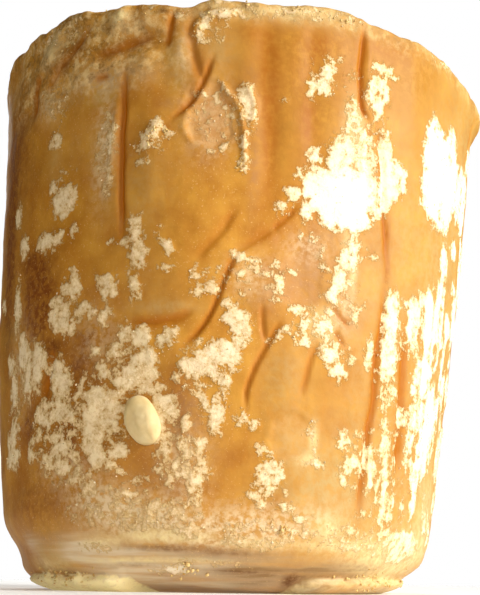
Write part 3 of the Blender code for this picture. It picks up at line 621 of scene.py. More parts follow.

# Tones in the sugar, with painted light and shade in some: azimuth, height, half width, half height and
# strength of each cloud.
STAINS: dict[str, tuple[Cloud, ...]] = {name: tuple(Cloud(*spot) for spot in spots) for name, spots in {
    # A paler golden tone, and painted light over the lit right side and on the level fold's lit lip.
    "gold_and_painted_light": (
        (62, 50, 26, 90, 0.95), (33, 40, 9, 40, 0.25), (-12, 48.3, 8, 1.3, 0.3), (27, 17, 15, 9, 0.9),
        (16.5, 26.5, 4.5, 4, 0.6), (-4, 96, 5, 6, 0.7), (-19, 70, 7, 12, 0.45), (-15, 52, 7, 5, 0.2),
        (14, 37, 6, 7, 0.6), (-11, 94, 3, 5, 0.5),
    ),
    # A deeper caramel, as painted shade darkening the upper right towards the rim.
    "toffee_and_painted_shade": (
        (10, 92, 9, 16, 1), (24, 99, 14, 9, 1), (40, 101, 12, 7, 0.9), (42, 90, 8, 12, 0.45),
        (22, 34, 6, 6, 0.35), (16, 85, 8, 10, 0.5), (58, 101, 10, 5, 0.2),
    ),
    # An orange-brown, mostly painted shade in the curtain valleys, beside the creases and under the level
    # fold's lip.
    "amber_and_painted_shade": (
        (14, 95, 13, 12, 0.40), (6.6, 92, 1.8, 8, 1), (7.6, 80, 1.9, 8, 1), (8.6, 69, 1.8, 5, 0.6),
        (15.3, 83, 1.9, 6, 0.8), (16.8, 97, 2, 2.5, 0.8), (33, 102, 9, 3, 0.7), (-13, 45.9, 8, 0.8, 0.6),
        (-7.5, 93, 1.6, 4, 0.6), (-2.5, 62, 2.2, 2.6, 0.4), (36.6, 66, 1.2, 4, 0.8),
        (35.8, 28, 1.4, 13, 0.9), (36.6, 46, 1.2, 8, 0.9), (37.5, 58, 1, 3, 0.8), (46.5, 31, 1.6, 9, 0.7),
        (45, 43, 1.5, 4, 0.6), (2, 99, 3.5, 2.4, 0.5), (57, 96, 3, 2.6, 0.3), (0.5, 64, 0.8, 3, 0.5),
        (12.5, 63, 2.5, 3, 0.5), (-9, 35, 2.5, 4, 0.5), (-15, 23, 4, 2.5, 0.5), (3, 24, 3, 6, 0.3),
    ),
    # A darker brown on the left, partly painted shade in its creases and hollows and along the far left
    # edge.
    "umber_and_painted_shade": (
        (-47.5, 52.5, 6.5, 9, 1.5), (-58, 84, 8, 12, 0.6), (-38.5, 97.4, 4, 1.6, 0.6),
        (-64, 60, 5, 20, 0.9), (-51, 29, 3.5, 3.5, 0.7), (-42, 42.5, 2.5, 1.6, 0.8),
        (-43.3, 36.5, 1, 3, 0.8), (-25, 96.8, 6, 1, 0.6), (-34, 37, 2.5, 3, 0.5), (-53, 60, 5, 2, 0.5),
        (-31, 45, 4, 2, 0.3), (-35, 26, 2, 3, 0.5), (-66, 80, 5, 18, 0.5), (-44, 28, 9, 8, 0.5),
        (-47, 15, 13, 5, 0.55), (-52, 92, 1.4, 3.5, 0.6), (-33, 42, 8, 4.5, 0.55), (-28, 35, 7, 6, 0.45),
        (-37, 29, 8, 7, 0.45), (-22, 38, 5, 5, 0.35), (-24, 24, 6, 4, 0.35),
    ),
    # A pinkish dusty film, and painted highlight on the lit lips of the curtain folds and creases.
    "blush_and_painted_highlight": (
        (-13, 28, 11, 12, 0.45), (-6, 24, 8, 8, 0.4), (-30, 50, 8, 5, 0.25), (-8, 31, 3.5, 5, 0.6),
        (-20, 92, 3.5, 3, 0.5), (-13, 85, 3.5, 1.4, 0.5), (17.5, 55.5, 5, 6, 1),
        (-8, 17.6, 2.5, 1.4, 0.6), (9, 52, 4.5, 5, 0.7), (3, 90, 1.4, 6, 0.5), (4.6, 74, 1.3, 9, 0.7),
        (-12, 103, 3, 1.5, 0.5), (27, 56, 3.5, 4, 0.5), (24, 63, 6, 2, 0.6), (-5.5, 81, 4.2, 5, 0.9),
        (-45, 8.8, 9, 1.2, 0.6), (-22, 18, 7, 3, 0.4), (28, 47, 3.5, 3, 0.4),
    ),
    # A beige dusty film, and painted light on lit lumps of the shoulder and on the level fold's lip.
    "haze_and_painted_light": (
        (-46, 98.5, 4, 2.6, 0.6), (-32, 92, 8, 2.4, 0.6), (-18, 12.5, 13, 3, 0.6),
        (-28.5, 78, 3.2, 9, 0.6), (-20, 92.5, 5, 3, 0.4), (-12.4, 94, 1.6, 4, 0.5),
        (-45.5, 88, 2.5, 2.5, 0.6), (-43, 79, 2.5, 6, 0.4), (-55.5, 95.5, 3, 2.6, 0.5),
        (-24, 100.5, 7, 2.2, 0.5), (-38, 103, 5, 1.5, 0.5), (11, 103.4, 17, 2.3, 1),
        (44, 104.8, 14, 1.2, 0.6), (-36, 80, 3, 6, 0.25), (-58, 88, 3, 5, 0.2), (-12, 48.3, 7, 1.2, 0.4),
    ),
    "cream": (
        (56, 6, 15, 4.6, 0.85), (42, 8.2, 11, 2.2, 0.7), (28, 11, 4, 2.2, 0.8), (68, 15, 8, 8, 0.5),
        (-26.2, 102.4, 1.8, 1.1, 1.2), (-11, 9.5, 10, 1, 1.5), (-46, 100.4, 3, 2.2, 0.7),
        (-18, 12.6, 10, 2.4, 0.25), (-27, 8.3, 5, 0.9, 1.2), (20.5, 22.8, 2.4, 1.2, 0.7),
        (21.5, 26.5, 1, 2.6, 1.2), (12, 103.2, 17, 1.6, 0.5), (31, 8.3, 7, 0.9, 0.8),
        (-15, 5.3, 16, 0.5, 1.3), (12, 8.5, 9, 1, 0.9), (-50, 4.4, 8, 1.2, 0.9), (26, 62, 1, 8, 0.5),
        (28.2, 57, 1, 4, 0.9), (21.5, 46.5, 3, 3, 0.9), (26, 82, 2.4, 6, 1.3),
    ),
    # Whiter, caked powder, mostly painted light on the lit right side and on the foot's wisps.
    "chalk_and_painted_light": (
        (52, 82, 13, 12, 1), (25.5, 69.5, 8, 6.5, 0.9), (56, 34, 10, 22, 0.6), (42, 48, 6, 8, 0.5),
        (75, 60, 14, 40, 0.8), (-9, 3.6, 7, 1.4, 1), (20, 50, 11, 50, 0.5), (0, 38, 6, 9, 0.3),
    ),
    "ash": (
        (-6, 2.6, 24, 2.8, 1.8), (-24, 6.4, 15, 1.3, 1.5), (0, 6.2, 14, 1, 0.6), (-53, 8, 5, 2, 0.7),
        (36, 4, 14, 1.6, 0.5), (-33, 7.5, 8, 2.4, 0.8),
    ),
    "drab": (
        (12, 3.4, 11, 3, 1.1), (30, 4.4, 10, 1, 0.8), (-3, 2.2, 9, 1.4, 0.3), (-2, 6.3, 12, 0.8, 0.7),
        (38, 4.5, 10, 1, 1), (29, 1.5, 5, 1.6, 1.1), (52, 4, 10, 1.6, 0.5),
    ),
    "frost": (
        (-16, 12.6, 11, 3.4, 1.3), (-2, 10, 10, 2.6, 0.9), (-28, 15.5, 7, 3.2, 0.9), (10, 11, 9, 3.6, 1),
        (-7, 22, 5, 5, 0.6), (-36, 20.5, 8, 3, 0.6), (-55, 40, 6, 9, 0.4), (-28, 43, 6, 5, 0.4),
        (-30, 91.5, 9, 2.6, 0.8), (-28.5, 78, 2.6, 9, 0.8), (-46, 98.5, 4, 2.6, 0.8),
        (-25, 100.5, 6, 2, 0.6), (-11.5, 95, 1.6, 5, 0.5), (-46, 89, 4, 3, 0.6), (24, 12, 6, 3, 0.5),
        (5, 54, 5, 3.5, 0.5), (17.5, 60, 5, 3, 0.5), (-5, 82, 5, 6.5, 0.5), (26, 50, 3.5, 4, 0.5),
    ),
    # The dark brown tone below is painted shade in the foot's gap and lines, in the shoulder's hollows, and
    # in pits and creases.
    "painted_hollow_shade": (
        (23, 2.3, 3, 1.1, 1.3), (36, 3.3, 11, 0.35, 0.9), (-42, 3.3, 11, 0.3, 0.7),
        (-10, 7.5, 11, 0.45, 0.9), (6, 6.9, 9, 0.4, 0.7), (-20, 4.4, 10, 0.35, 0.6),
        (8, 3.6, 8, 0.3, 0.8), (-26, 25, 0.8, 0.7, 1), (-22.5, 26.6, 1.6, 0.5, 0.9),
        (-36.5, 98.6, 2.4, 1.4, 1), (-41.5, 95.6, 2.6, 1.3, 1), (-21.5, 97.4, 3.6, 0.8, 0.8),
        (-28.5, 96.2, 3.6, 0.9, 0.8), (-51.5, 92, 1.2, 3.5, 0.8), (11.5, 55, 0.5, 0.5, 1.2),
        (28.4, 61.6, 0.6, 0.6, 1.2), (-42, 42.5, 2.2, 1.2, 0.7), (-43.6, 37, 0.8, 3, 0.8),
        (-30, 91.5, 1.4, 0.3, 0.6), (-16.2, 103.2, 1.4, 1.3, 1), (36.2, 37.5, 0.8, 3, 0.7),
    ),
    "drawn": (
        (58, 46, 20, 60, 1), (34, 80, 7, 12, 0.6), (40, 22, 8, 14, 0.8), (-60, 38, 12, 12, 0.7),
    ),
    "olive": (
        (-45, 102, 12, 4.5, 0.5), (-31, 101, 7, 3.5, 0.5), (-30, 88, 3.5, 2.4, 1), (-38, 90, 7, 5, 0.4),
        (-63, 47.5, 6, 2.4, 0.8), (-46, 78, 7, 4, 0.3), (-14, 96, 3, 5, 0.4), (-43, 7.2, 8, 3.2, 1.5),
        (29, 1.2, 6, 2.2, 1), (-30, 60, 9, 14, 0.12), (-13, 88.5, 2.5, 2, 0.4),
    ),
}.items()}

# Clouds of each tone round the sides and the back: the tone, how many, and the tallest in mm.
HIDDEN_CLOUDS = (
    ("gold_and_painted_light", 9, 26.0), ("toffee_and_painted_shade", 9, 26.0), ("amber_and_painted_shade", 14, 14.0), ("umber_and_painted_shade", 9, 12.0),
    ("blush_and_painted_highlight", 9, 8.0), ("olive", 10, 9.0), ("haze_and_painted_light", 9, 8.0), ("frost", 9, 6.0),
)
# Bands at the foot and the rim that run on round the back.
HIDDEN_BANDS = (
    ("ash", Cloud(175, 3.4, 70, 3.0, 0.9)), ("cream", Cloud(120, 8.5, 34, 1.4, 0.9)),
    ("cream", Cloud(225, 9.5, 26, 1.0, 0.9)), ("frost", Cloud(165, 12.5, 34, 3.4, 0.9)),
    ("frost", Cloud(240, 13.0, 22, 3.0, 0.8)), ("olive", Cloud(180, 101.0, 80, 4.0, 0.5)),
    # The last band carries the foot's painted shade line on round the back.
    ("haze_and_painted_light", Cloud(150, 103.0, 60, 1.6, 0.8)), ("painted_hollow_shade", Cloud(190, 6.8, 40, 0.45, 0.7)),
)


@dataclass
class BloomMap:
    """The powdery sugar bloom over the whole block: listed in front, seeded elsewhere."""
    form: TubForm
    seed: int = 48
    hidden_clusters: int = 44
    hidden_side: tuple[float, float] = (82.0, 276.0)
    lowest: float = 10.0
    height_range: float = 84.0
    bare_depth: float = -4.0
    lobe_margin: float = 5.0
    lobes: list[Lobe] = field(default_factory=list)

    def __post_init__(self) -> None:
        """Gather the front's lobes and scatter clusters of them round the sides and the back."""
        for group in BLOOM.values():
            self.lobes.extend(Lobe(*spot) for spot in group)
        rng = np.random.default_rng(self.seed)
        for _ in range(self.hidden_clusters):
            # A cluster is 3 to 9 lobes of 0.7 to 3.7 mm, some thin and some crisp.
            azimuth = rng.uniform(*self.hidden_side)
            height = self.lowest + self.height_range * rng.beta(1.2, 1.8)
            spread = rng.uniform(2.0, 6.5)
            crisp = rng.choice([0.0, 0.0, 0.25])
            for _ in range(rng.integers(3, 10)):
                aside = rng.normal(0.0, spread / (DEGREE * MIDDLE_RADIUS))
                above = rng.normal(0.0, 1.3 * spread)
                size = 0.7 + 3.0 * rng.beta(1.3, 2.6)
                tall = size * rng.uniform(0.6, 2.2)
                thinness = crisp + rng.choice([0.0, 0.15, 0.35])
                turn = rng.uniform(-30, 30)
                self.lobes.append(Lobe(azimuth + aside, height + above, size, tall, turn, thinness))

    def depth(self, azimuth: Array, height: Array) -> Array:
        """How far inside the bloom each point lies.

        Args:
            azimuth, height: where on the wall, in degrees and millimetres.

        Returns:
            Millimetres inside the bloom's outline, negative where the sugar is bare.
        """
        degree = DEGREE * self.form.radius(height)
        deepest = np.full_like(height, self.bare_depth)
        for lobe in self.lobes:
            reach = max(lobe.half_width, lobe.half_height) + self.lobe_margin
            near = np.abs(height - lobe.height) < reach
            near &= np.abs(angle_between(azimuth, lobe.azimuth)) * DEGREE * FOOT_RADIUS < reach
            inside = lobe.depth_at(azimuth[near], height[near], degree[near])
            deepest[near] = np.maximum(deepest[near], inside)
        return deepest


# ---------------------------------------------------------------- relief and tints of the wall


@dataclass
class WallSculptor:
    """Works out how far the wall stands off the tub's form, and what tints it, at any point.

    Rises, reaches and heights are in millimetres. A pair of waves adds up, the long one first. A
    pair of heights is where something starts and where it is whole, and a stretch is the middle
    and the half width, in degrees, of a part of the block.
    """
    form: TubForm
    bloom: BloomMap
    hidden_seed: int = 7
    hidden_clouds: dict[str, tuple[Cloud, ...]] = field(default_factory=dict)
    # The whole wall, and its lumps, which the crumbly parts have more of.
    wall_waves: tuple[Ripple, Ripple] = (Ripple(0.45, 26.0, 3.0), Ripple(0.26, 9.0, 11.0))
    lumps: Ripple = Ripple(1.0, 4.5, 23.0)
    small_lumps: Ripple = Ripple(1.0, 1.9, 29.0)
    shoulder_lumps: Ripple = Ripple(0.70, 7.5, 37.0)
    smooth_lump_rises: tuple[float, float] = (0.11, 0.06)
    crumbly_lump_rises: tuple[float, float] = (0.62, 0.22)
    raw_lump_rise: float = 0.14
    # The powder's own thickness, and how far its lumps add to it.
    powder_rises: tuple[float, float] = (0.13, 0.12)
    powder_waves: tuple[Ripple, Ripple] = (Ripple(0.55, 2.2, 83.0), Ripple(0.30, 1.0, 89.0))
    # Curtain folds, and the folds and ridges drawn one by one.
    curtain_foot: tuple[float, float] = (60.0, 76.0)
    curtain_head: tuple[float, float] = (97.0, 104.0)
    curtain_sway: float = 1.2
    sway_height: float = 9.0
    deep_valley: float = 0.6
    fold_wander: Ripple = Ripple(0.22, 3.5, 61.0)
    fold_reach: float = 7.0
    lap_share: float = 0.85
    lap_widths: float = 3.0
    # Painted shade in the folds: how much wider than a groove it spreads, and the groove depth that shades
    # it fully.
    fold_shade_widths: float = 1.7
    full_fold_shade: float = 0.6
    scar_waves: tuple[Ripple, Ripple] = (Ripple(0.30, 3.0, 67.0), Ripple(0.14, 1.2, 71.0))
    full_scar: float = 0.5
    # The crumbly shoulder, the rim with its clean stretch, and the crumb skirt at the foot.
    shoulder_heights: tuple[float, float] = (85.0, 95.0)
    shoulder_stretch: tuple[float, float] = (-40.0, 27.0)
    rim_heights: tuple[float, float] = (99.8, 103.0)
    clean_rim: tuple[float, float] = (52.0, 33.0)
    crumbly_edge: Ripple = Ripple(2.2, 6.0, 73.0)
    crust_lumps: Ripple = Ripple(1.0, 5.0, 41.0)
    crust_crest: Ripple = Ripple(0.30, 2.6, 47.0)
    crust_ragged: Ripple = Ripple(0.45, 1.6, 43.0)
    crust_chamfer: float = 5.0
    crust_end: float = 5.0
    crust_thinning: float = 3.0
    worn_crust: float = 0.88
    worn_stretch: tuple[float, float] = (50.0, 34.0)
    rim_waves: tuple[Ripple, Ripple] = (Ripple(0.35, 5.0, 57.0), Ripple(0.3, 1.8, 59.0))

    def __post_init__(self) -> None:
        """Scatter clouds of the front's tones round the sides and the back."""
        rng = np.random.default_rng(self.hidden_seed)
        # A cloud is 3 to 14 degrees to a side, and lies anywhere from the foot to the rim.
        for name, count, tallest in HIDDEN_CLOUDS:
            self.hidden_clouds[name] = tuple(Cloud(
                rng.uniform(88.0, 272.0), rng.uniform(6.0, 100.0), rng.uniform(3.0, 14.0),
                rng.uniform(0.3, 1.0) * tallest, rng.uniform(0.4, 1.0),
            ) for _ in range(count))
        for name, band in HIDDEN_BANDS:
            self.hidden_clouds[name] = self.hidden_clouds.get(name, ()) + (band,)

    def degree(self, height: Array) -> Array:
        """Millimetres round the wall to a degree."""
        return DEGREE * self.form.radius(height)

    def curtain(self, azimuth: Array, height: Array) -> Array:
        """Soft folds that hang from the rim and fade out half way down.

        Args:
            azimuth, height: where on the wall, in degrees and millimetres.

        Returns:
            Their rise in millimetres.
        """
        fade = smooth_step(height, *self.curtain_foot)
        fade *= 1.0 - 0.5 * smooth_step(height, *self.curtain_head)
        sway = self.curtain_sway * np.sin(height / self.sway_height)
        total = np.zeros_like(height)
        for centre, half_width, rise in CURTAIN_FOLDS:
            total += rise * stretch(azimuth, centre + sway, half_width)
        return total * fade

    def creases(self, azimuth: Array, height: Array) -> tuple[Array, Array]:
        """Fold lines and ridges.

        Args:
            azimuth, height: where on the wall, in degrees and millimetres.

        Returns:
            Their rise in millimetres, and painted shade for the folds: how deep in a fold each point lies,
            0 to 1.
        """
        degree = self.degree(height)
        rise = np.zeros_like(height)
        painted_fold_shade = np.zeros_like(height)
        wander = self.fold_wander.at(self.form.cylinder(azimuth, height)) / degree
        for line in CREASES + RIDGES:
            near = line.near(azimuth, height, self.fold_reach)
            nearest, signed, position = line.measure((azimuth + wander)[near], height[near], degree[near])
            taper = smooth_step(np.minimum(position, 1.0 - position), -0.06, 0.20)
            groove = np.exp(-(nearest / line.width) ** 2)
            lapping = smooth_step(signed * math.copysign(1.0, line.lap), 0.0, line.width)
            lap = abs(line.lap) * lapping * np.exp(-nearest / (self.lap_widths * line.width))
            rise[near] += (self.lap_share * lap + line.rise * groove) * taper
            # A groove gets painted shade, spread wider than the groove itself.
            if line.rise < 0.0:
                wide = np.exp(-(nearest / (self.fold_shade_widths * line.width)) ** 2) * taper
                depth = min(1.0, -line.rise / self.full_fold_shade)
                painted_fold_shade[near] = np.maximum(painted_fold_shade[near], wide * depth)
        return rise, painted_fold_shade

    def scars(self, azimuth: Array, height: Array) -> tuple[Array, Array]:
        """Flaked plates.

        Args:
            azimuth, height: where on the wall, in degrees and millimetres.

        Returns:
            Their rise in millimetres, and 1 on their raw floors.
        """
        degree = self.degree(height)
        rise = np.zeros_like(height)
        raw = np.zeros_like(height)
        points = self.form.cylinder(azimuth, height)
        ragged = sum(wave.at(points) for wave in self.scar_waves)
        for scar in SCARS:
            radius = scar.radius_at(azimuth, height, degree) + ragged
            floor = 1.0 - smooth_step(radius, 0.82, 1.0)
            rise += scar.edge * np.exp(-((radius - 1.03) / 0.10) ** 2) - scar.depth * floor
            raw = np.maximum(raw, floor * min(1.0, scar.depth / self.full_scar))
        return rise, raw

    def flake_seat(self, azimuth: Array, height: Array) -> Array:
        """1 under the pale flake and 0 away from it."""
        across = angle_between(azimuth, FLAKE_AZIMUTH) * self.degree(height)
        return 1.0 - smooth_step(np.hypot(across, height - FLAKE_HEIGHT), 5.0, 8.0)

    def crumbly(self, azimuth: Array, height: Array) -> Array:
        """Where the sugar crumbles.

        Args:
            azimuth, height: where on the wall, in degrees and millimetres.

        Returns:
            1 on the crumbly left shoulder and along the rim, 0 on the smooth wall.
        """
        edge = self.crumbly_edge.at(self.form.cylinder(azimuth, height))
        shoulder = smooth_step(height + edge, *self.shoulder_heights)
        shoulder *= stretch(azimuth, *self.shoulder_stretch, power=4)
        rim = 0.8 * smooth_step(height + 0.5 * edge, *self.rim_heights)
        rim *= 1.0 - 0.5 * stretch(azimuth, *self.clean_rim, power=4)
        return np.maximum(shoulder, rim)

    def relief(self, azimuth: Array, height: Array) -> tuple[Array, dict[str, Array]]:
        """Everything that stands proud of the tub's form or lies under it.

        Args:
            azimuth, height: where on the wall, in degrees and millimetres.

        Returns:
            The rise in millimetres, and the tints that go onto the mesh as attributes.
        """
        round_wall = self.form.cylinder(azimuth, height)
        total = self.curtain(azimuth, height)
        # Curtain valleys get a little painted shade as well.
        valley = np.clip(-total / self.deep_valley, 0.0, 1.0)
        for swell in SWELLS:
            total += swell.at(azimuth, height)
        crease_rise, painted_fold_shade = self.creases(azimuth, height)
        scar_rise, raw = self.scars(azimuth, height)
        total += crease_rise + scar_rise
        for wave in self.wall_waves:
            total += wave.at(round_wall)
        crumbly = self.crumbly(azimuth, height)
        smooth, smooth_small = self.smooth_lump_rises
        rough, rough_small = self.crumbly_lump_rises
        small = self.small_lumps.at(round_wall)
        total += (smooth + rough * crumbly) * self.lumps.at(round_wall)
        total += crumbly * self.shoulder_lumps.at(round_wall)
        total += (smooth_small + rough_small * crumbly + self.raw_lump_rise * raw) * small
        total *= 1.0 - self.flake_seat(azimuth, height)
        depth = self.bloom.depth(azimuth, height) + sum(wave.at(round_wall) for wave in self.powder_waves)
        powder = smooth_step(depth, -0.1, 0.5)
        total += powder * (self.powder_rises[0] + self.powder_rises[1] * small)
        # Painted shade in creases and curtain valleys goes onto the mesh with the stains, some of which are
        # painted light or shade too.
        tints = {
            "bloom": depth,
            "painted_fold_shade": np.maximum(painted_fold_shade, 0.25 * valley),
            "raw": raw,
            "crumbly": crumbly,
        }
        for name, clouds in STAINS.items():
            clouds = clouds + self.hidden_clouds.get(name, ())
            tints[name] = np.clip(sum(cloud.at(azimuth, height) for cloud in clouds), 0.0, 1.0)
        return total, tints

    def crust(self, azimuth: Array, height: Array) -> Array:
        """The crumb skirt at the foot.

        Args:
            azimuth, height: where on the wall, in degrees and millimetres.

        Returns:
            Its radius in millimetres, or 0 where it has broken away.
        """
        points = self.form.cylinder(azimuth, height)
        lumps = self.crust_lumps.at(points)
        whole = self.form.crust_thickness
        thick = whole * (1.0 + 0.35 * lumps)
        draw_in = self.crust_chamfer * (1.0 - np.clip(height / whole, 0.0, 1.0)) ** 2.2
        crest = thick * (0.55 + self.crust_crest.at(points))
        draw_in += 0.8 * np.clip(height - crest, 0.0, None) ** 2
        ragged = 0.5 * lumps + self.crust_ragged.at(points)
        radius = np.zeros_like(height)
        for arc in CRUST_ARCS:
            middle = (arc.start + arc.end) / 2.0
            from_end = (arc.end - arc.start) / 2.0 - np.abs(angle_between(azimuth, middle))
            thin = self.crust_thinning * (1.0 - smooth_step(from_end, 0.0, self.crust_end))
            radius = np.where(from_end > 0.0, arc.reach - thin - draw_in + ragged, radius)
        return radius

    def wall(self, azimuth: Array, height: Array) -> tuple[Array, dict[str, Array]]:
        """The finished wall.

        Args:
            azimuth, height: where on the wall, in degrees and millimetres.

        Returns:
            Its radius in millimetres, and its tints.
        """
        relief, tints = self.relief(azimuth, height)
        wall = self.form.radius(height) + relief * smooth_step(height, 0.5, 6.0)
        skirt = self.crust(azimuth, height)
        worn = self.worn_crust * stretch(azimuth, *self.worn_stretch, power=4)
        tints["crust"] = smooth_step(skirt - wall, -0.4, 0.3) * (1.0 - worn)
        return np.maximum(wall, skirt), tints

    def rim_height(self, azimuth: Array) -> Array:
        """Height of the rim's crest round the block, chips and all.

        Args:
            azimuth: degrees round the block.

        Returns:
            Millimetres above the base, before the top's fall.
        """
        at_rim = self.form.cylinder(azimuth, np.full_like(azimuth, self.form.height))
        height = self.form.height + sum(wave.at(at_rim) for wave in self.rim_waves)
        for centre, half_width, rise in RIM_CHIPS:
            height += rise * stretch(azimuth, centre, half_width)
        return height


# ---------------------------------------------------------------- meshes


def turned_blank(name: str, profile: list[tuple[float, float]], columns: int) -> bpy.types.Mesh:
    """Turn a half section about Z with a Screw modifier.

    Args:
        name: what the mesh is called.
        profile: radius and height in millimetres, from the top's middle to the base's.
        columns: steps round the turn.

    Returns:
        The bare turned mesh, in metres.
    """
    outline = bpy.data.meshes.new(name + "_profile")
    points = [(radius * MM, 0.0, height * MM) for radius, height in profile]
    outline.from_pydata(points, [(i, i + 1) for i in range(len(points) - 1)], [])
    blank = bpy.data.objects.new(name + "_profile", outline)
    bpy.context.scene.collection.objects.link(blank)
    screw = blank.modifiers.new("turn", "SCREW")
    screw.angle = FULL_TURN
    screw.steps = columns
    screw.render_steps = columns
    screw.use_merge_vertices = True
    screw.merge_threshold = 1.0e-6
    evaluated = blank.evaluated_get(bpy.context.evaluated_depsgraph_get())
    blank_mesh = bpy.data.meshes.new_from_object(evaluated)
    bpy.data.objects.remove(blank)
    bpy.data.meshes.remove(outline)
    blank_mesh.name = name
    return blank_mesh


def read_points(mesh: bpy.types.Mesh) -> Array:
    """Read a mesh's points.

    Args:
        mesh: the mesh, in metres.

    Returns:
        Rows of x, y and z in millimetres.
    """
    flat = np.empty(len(mesh.vertices) * 3, dtype=np.float32)
    mesh.vertices.foreach_get("co", flat)
    return flat.reshape(-1, 3).astype(float) / MM


def write_points(mesh: bpy.types.Mesh, points: Array) -> None:
    """Store points in millimetres as the mesh's own."""
    mesh.vertices.foreach_set("co", (points * MM).astype(np.float32).ravel())
    mesh.update()


def write_tints(mesh: bpy.types.Mesh, tints: dict[str, Array]) -> None:
    """Store tints on a mesh's points.

    Args:
        mesh: the mesh that they go onto.
        tints: for each attribute's name, a value for every point.
    """
    for name, values in tints.items():
        layer = mesh.attributes.new(name, "FLOAT", "POINT")
        layer.data.foreach_set("value", values.astype(np.float32))


def add_piece(name: str, mesh: bpy.types.Mesh, material: bpy.types.Material) -> bpy.types.Object:
    """Put a mesh in the scene as a smooth shaded piece.

    Args:
        name: the piece's name.
        mesh: its mesh, in metres.
        material: its one material.

    Returns:
        The new object.
    """
    mesh.materials.clear()
    mesh.materials.append(material)
    mesh.shade_smooth()
    piece = bpy.data.objects.new(name, mesh)
    bpy.context.scene.collection.objects.link(piece)
    return piece


@dataclass
class JaggeryBlock:
    """The block itself: a turned blank whose every point is moved to the wall, top or base.

    Lengths are in millimetres. The notch is where the foot's front lifts, from left to right in
    degrees, and the crumb shares are how crumbly the top is inside its rim, and the base.
    """
    form: TubForm
    sculptor: WallSculptor
    columns: int = 420
    wall_rings: int = 202
    top_rings: int = 26
    base_rings: int = 6
    front_gather: float = 0.46
    crease_gather: float = 0.45
    crease_reach: float = 5.0
    gathered_rise: float = -0.70
    top_waves: tuple[Ripple, Ripple] = (Ripple(0.8, 11.0, 0.0), Ripple(0.30, 4.0, 7.0))
    top_crumb: Ripple = Ripple(1.0, 2.2, 13.0)
    notch: tuple[float, float] = (-25.0, 24.0)
    notch_lift: float = 1.1
    top_crumb_share: float = 0.5
    base_crumb_share: float = 0.3
    tolerance: float = 0.001
    crest_reach: float = 14.0
    shift: Array = field(default_factory=lambda: np.zeros(3))

    @property
    def rim(self) -> float:
        """Radius at which the top rounds over into the wall, on the plain tub."""
        return self.form.rim_radius - self.form.rim_rounding

    def profile(self) -> list[tuple[float, float]]:
        """Half section of the tub, from the middle of the top down to the middle of the base.

        Returns:
            Radius and height of each point, in millimetres.
        """
        form = self.form
        top = [(self.rim * share ** 0.8, form.height) for share in np.linspace(0.0, 1.0, self.top_rings)]
        over_rim = [form.height - form.rim_rounding * (1.0 - math.cos(turn))
                    for turn in np.linspace(0.3, math.pi / 2.0, 4)]
        down = np.linspace(over_rim[-1], 0.0, self.wall_rings)[1:]
        heights = np.array(over_rim + list(down))
        wall = list(zip(form.radius(heights).tolist(), heights.tolist()))
        base = [(form.flat_base * share, 0.0) for share in np.linspace(1.0, 0.0, self.base_rings)]
        return top + wall + base

    def gather(self, azimuth: Array, height: Array) -> Array:
        """Crowd the columns towards the front, and at each height towards the creases.

        Args:
            azimuth: degrees round the plain blank.
            height: millimetres above the base.

        Returns:
            The azimuths that the columns move to.
        """
        azimuth = azimuth - math.degrees(self.front_gather) * np.sin(np.radians(azimuth))
        for crease in CREASES:
            if crease.rise > self.gathered_rise:
                continue
            line, beside = crease.line_at(height)
            pull = self.crease_gather * beside * stretch(azimuth, line, self.crease_reach)
            azimuth = azimuth - pull * angle_between(azimuth, line)
        return azimuth

    def pour_top(self, azimuth: Array, radius: Array, crest: Array) -> tuple[Array, Array]:
        """The poured top, a little lower than its rim.

        Args:
            azimuth: degrees round the block.
            radius: millimetres from the block's own axis, on the plain tub.
            crest: height of the rim at that azimuth.

        Returns:
            Its height in millimetres, and 1 on its raised rim fading to 0 inside it.
        """
        turn = np.radians(azimuth)
        level = level_slice(radius * np.sin(turn), radius * np.cos(turn))
        inward = smooth_step(self.rim - radius, 0.0, self.form.rim_width)
        poured = self.form.height - self.form.sink + sum(wave.at(level) for wave in self.top_waves)
        crumb = (0.5 - 0.25 * inward) * self.top_crumb.at(level)
        crumb *= smooth_step(self.rim - radius, 0.0, 2.0)
        return crest + (poured - crest) * inward + crumb, 1.0 - inward

    def lift_notch(self, azimuth: Array, height: Array) -> Array:
        """How far the foot's front lifts between its two toes.

        Args:
            azimuth, height: where on the wall, in degrees and millimetres.

        Returns:
            Millimetres, nothing away from the notch.
        """
        left, right = self.notch
        share = smooth_step(azimuth, left - 0.5, left + 2.0)
        share *= 1.0 - smooth_step(azimuth, left + 6.0, right)
        return self.notch_lift * share * (1.0 - smooth_step(height, 0.0, 7.0))

    def tint_top(self, points: Array, on_top: Array, rim_share: Array, tints: dict[str, Array]) -> None:
        """Fade the wall's stains out over the rim, and lay the top's own patches inside it.

        Args:
            points: the blank's points in millimetres.
            on_top: whether each point is on the top.
            rim_share: 1 on the raised rim, 0 inside it.
            tints: the tints, which change in place.
        """
        level = level_slice(points[:, 0], points[:, 1])
        kept = rim_share ** 0.5
        for name in STAINS:
            tints[name] = np.where(on_top, tints[name] * kept, tints[name])
        for name, patch in TOP_PATCHES.items():
            tints[name] += np.where(on_top, np.clip(patch.at(level), 0.0, 1.0) * (1.0 - kept), 0.0)

    def shape(self, points: Array) -> tuple[Array, dict[str, Array]]:
        """Move the blank's points to the finished block, and work out their tints.

        Args:
            points: the blank's points in millimetres.

        Returns:
            The moved points, before the frame's shift, and the tints.
        """
        form = self.form
        radius = np.hypot(points[:, 0], points[:, 1])
        height = points[:, 2].copy()
        azimuth = self.gather(np.degrees(np.arctan2(points[:, 0], -points[:, 1])), height)
        on_top = (height > form.height - self.tolerance) & (radius < self.rim + self.tolerance)
        on_base = (height < self.tolerance) & (radius < form.flat_base + self.tolerance)
        on_wall = ~on_top & ~on_base

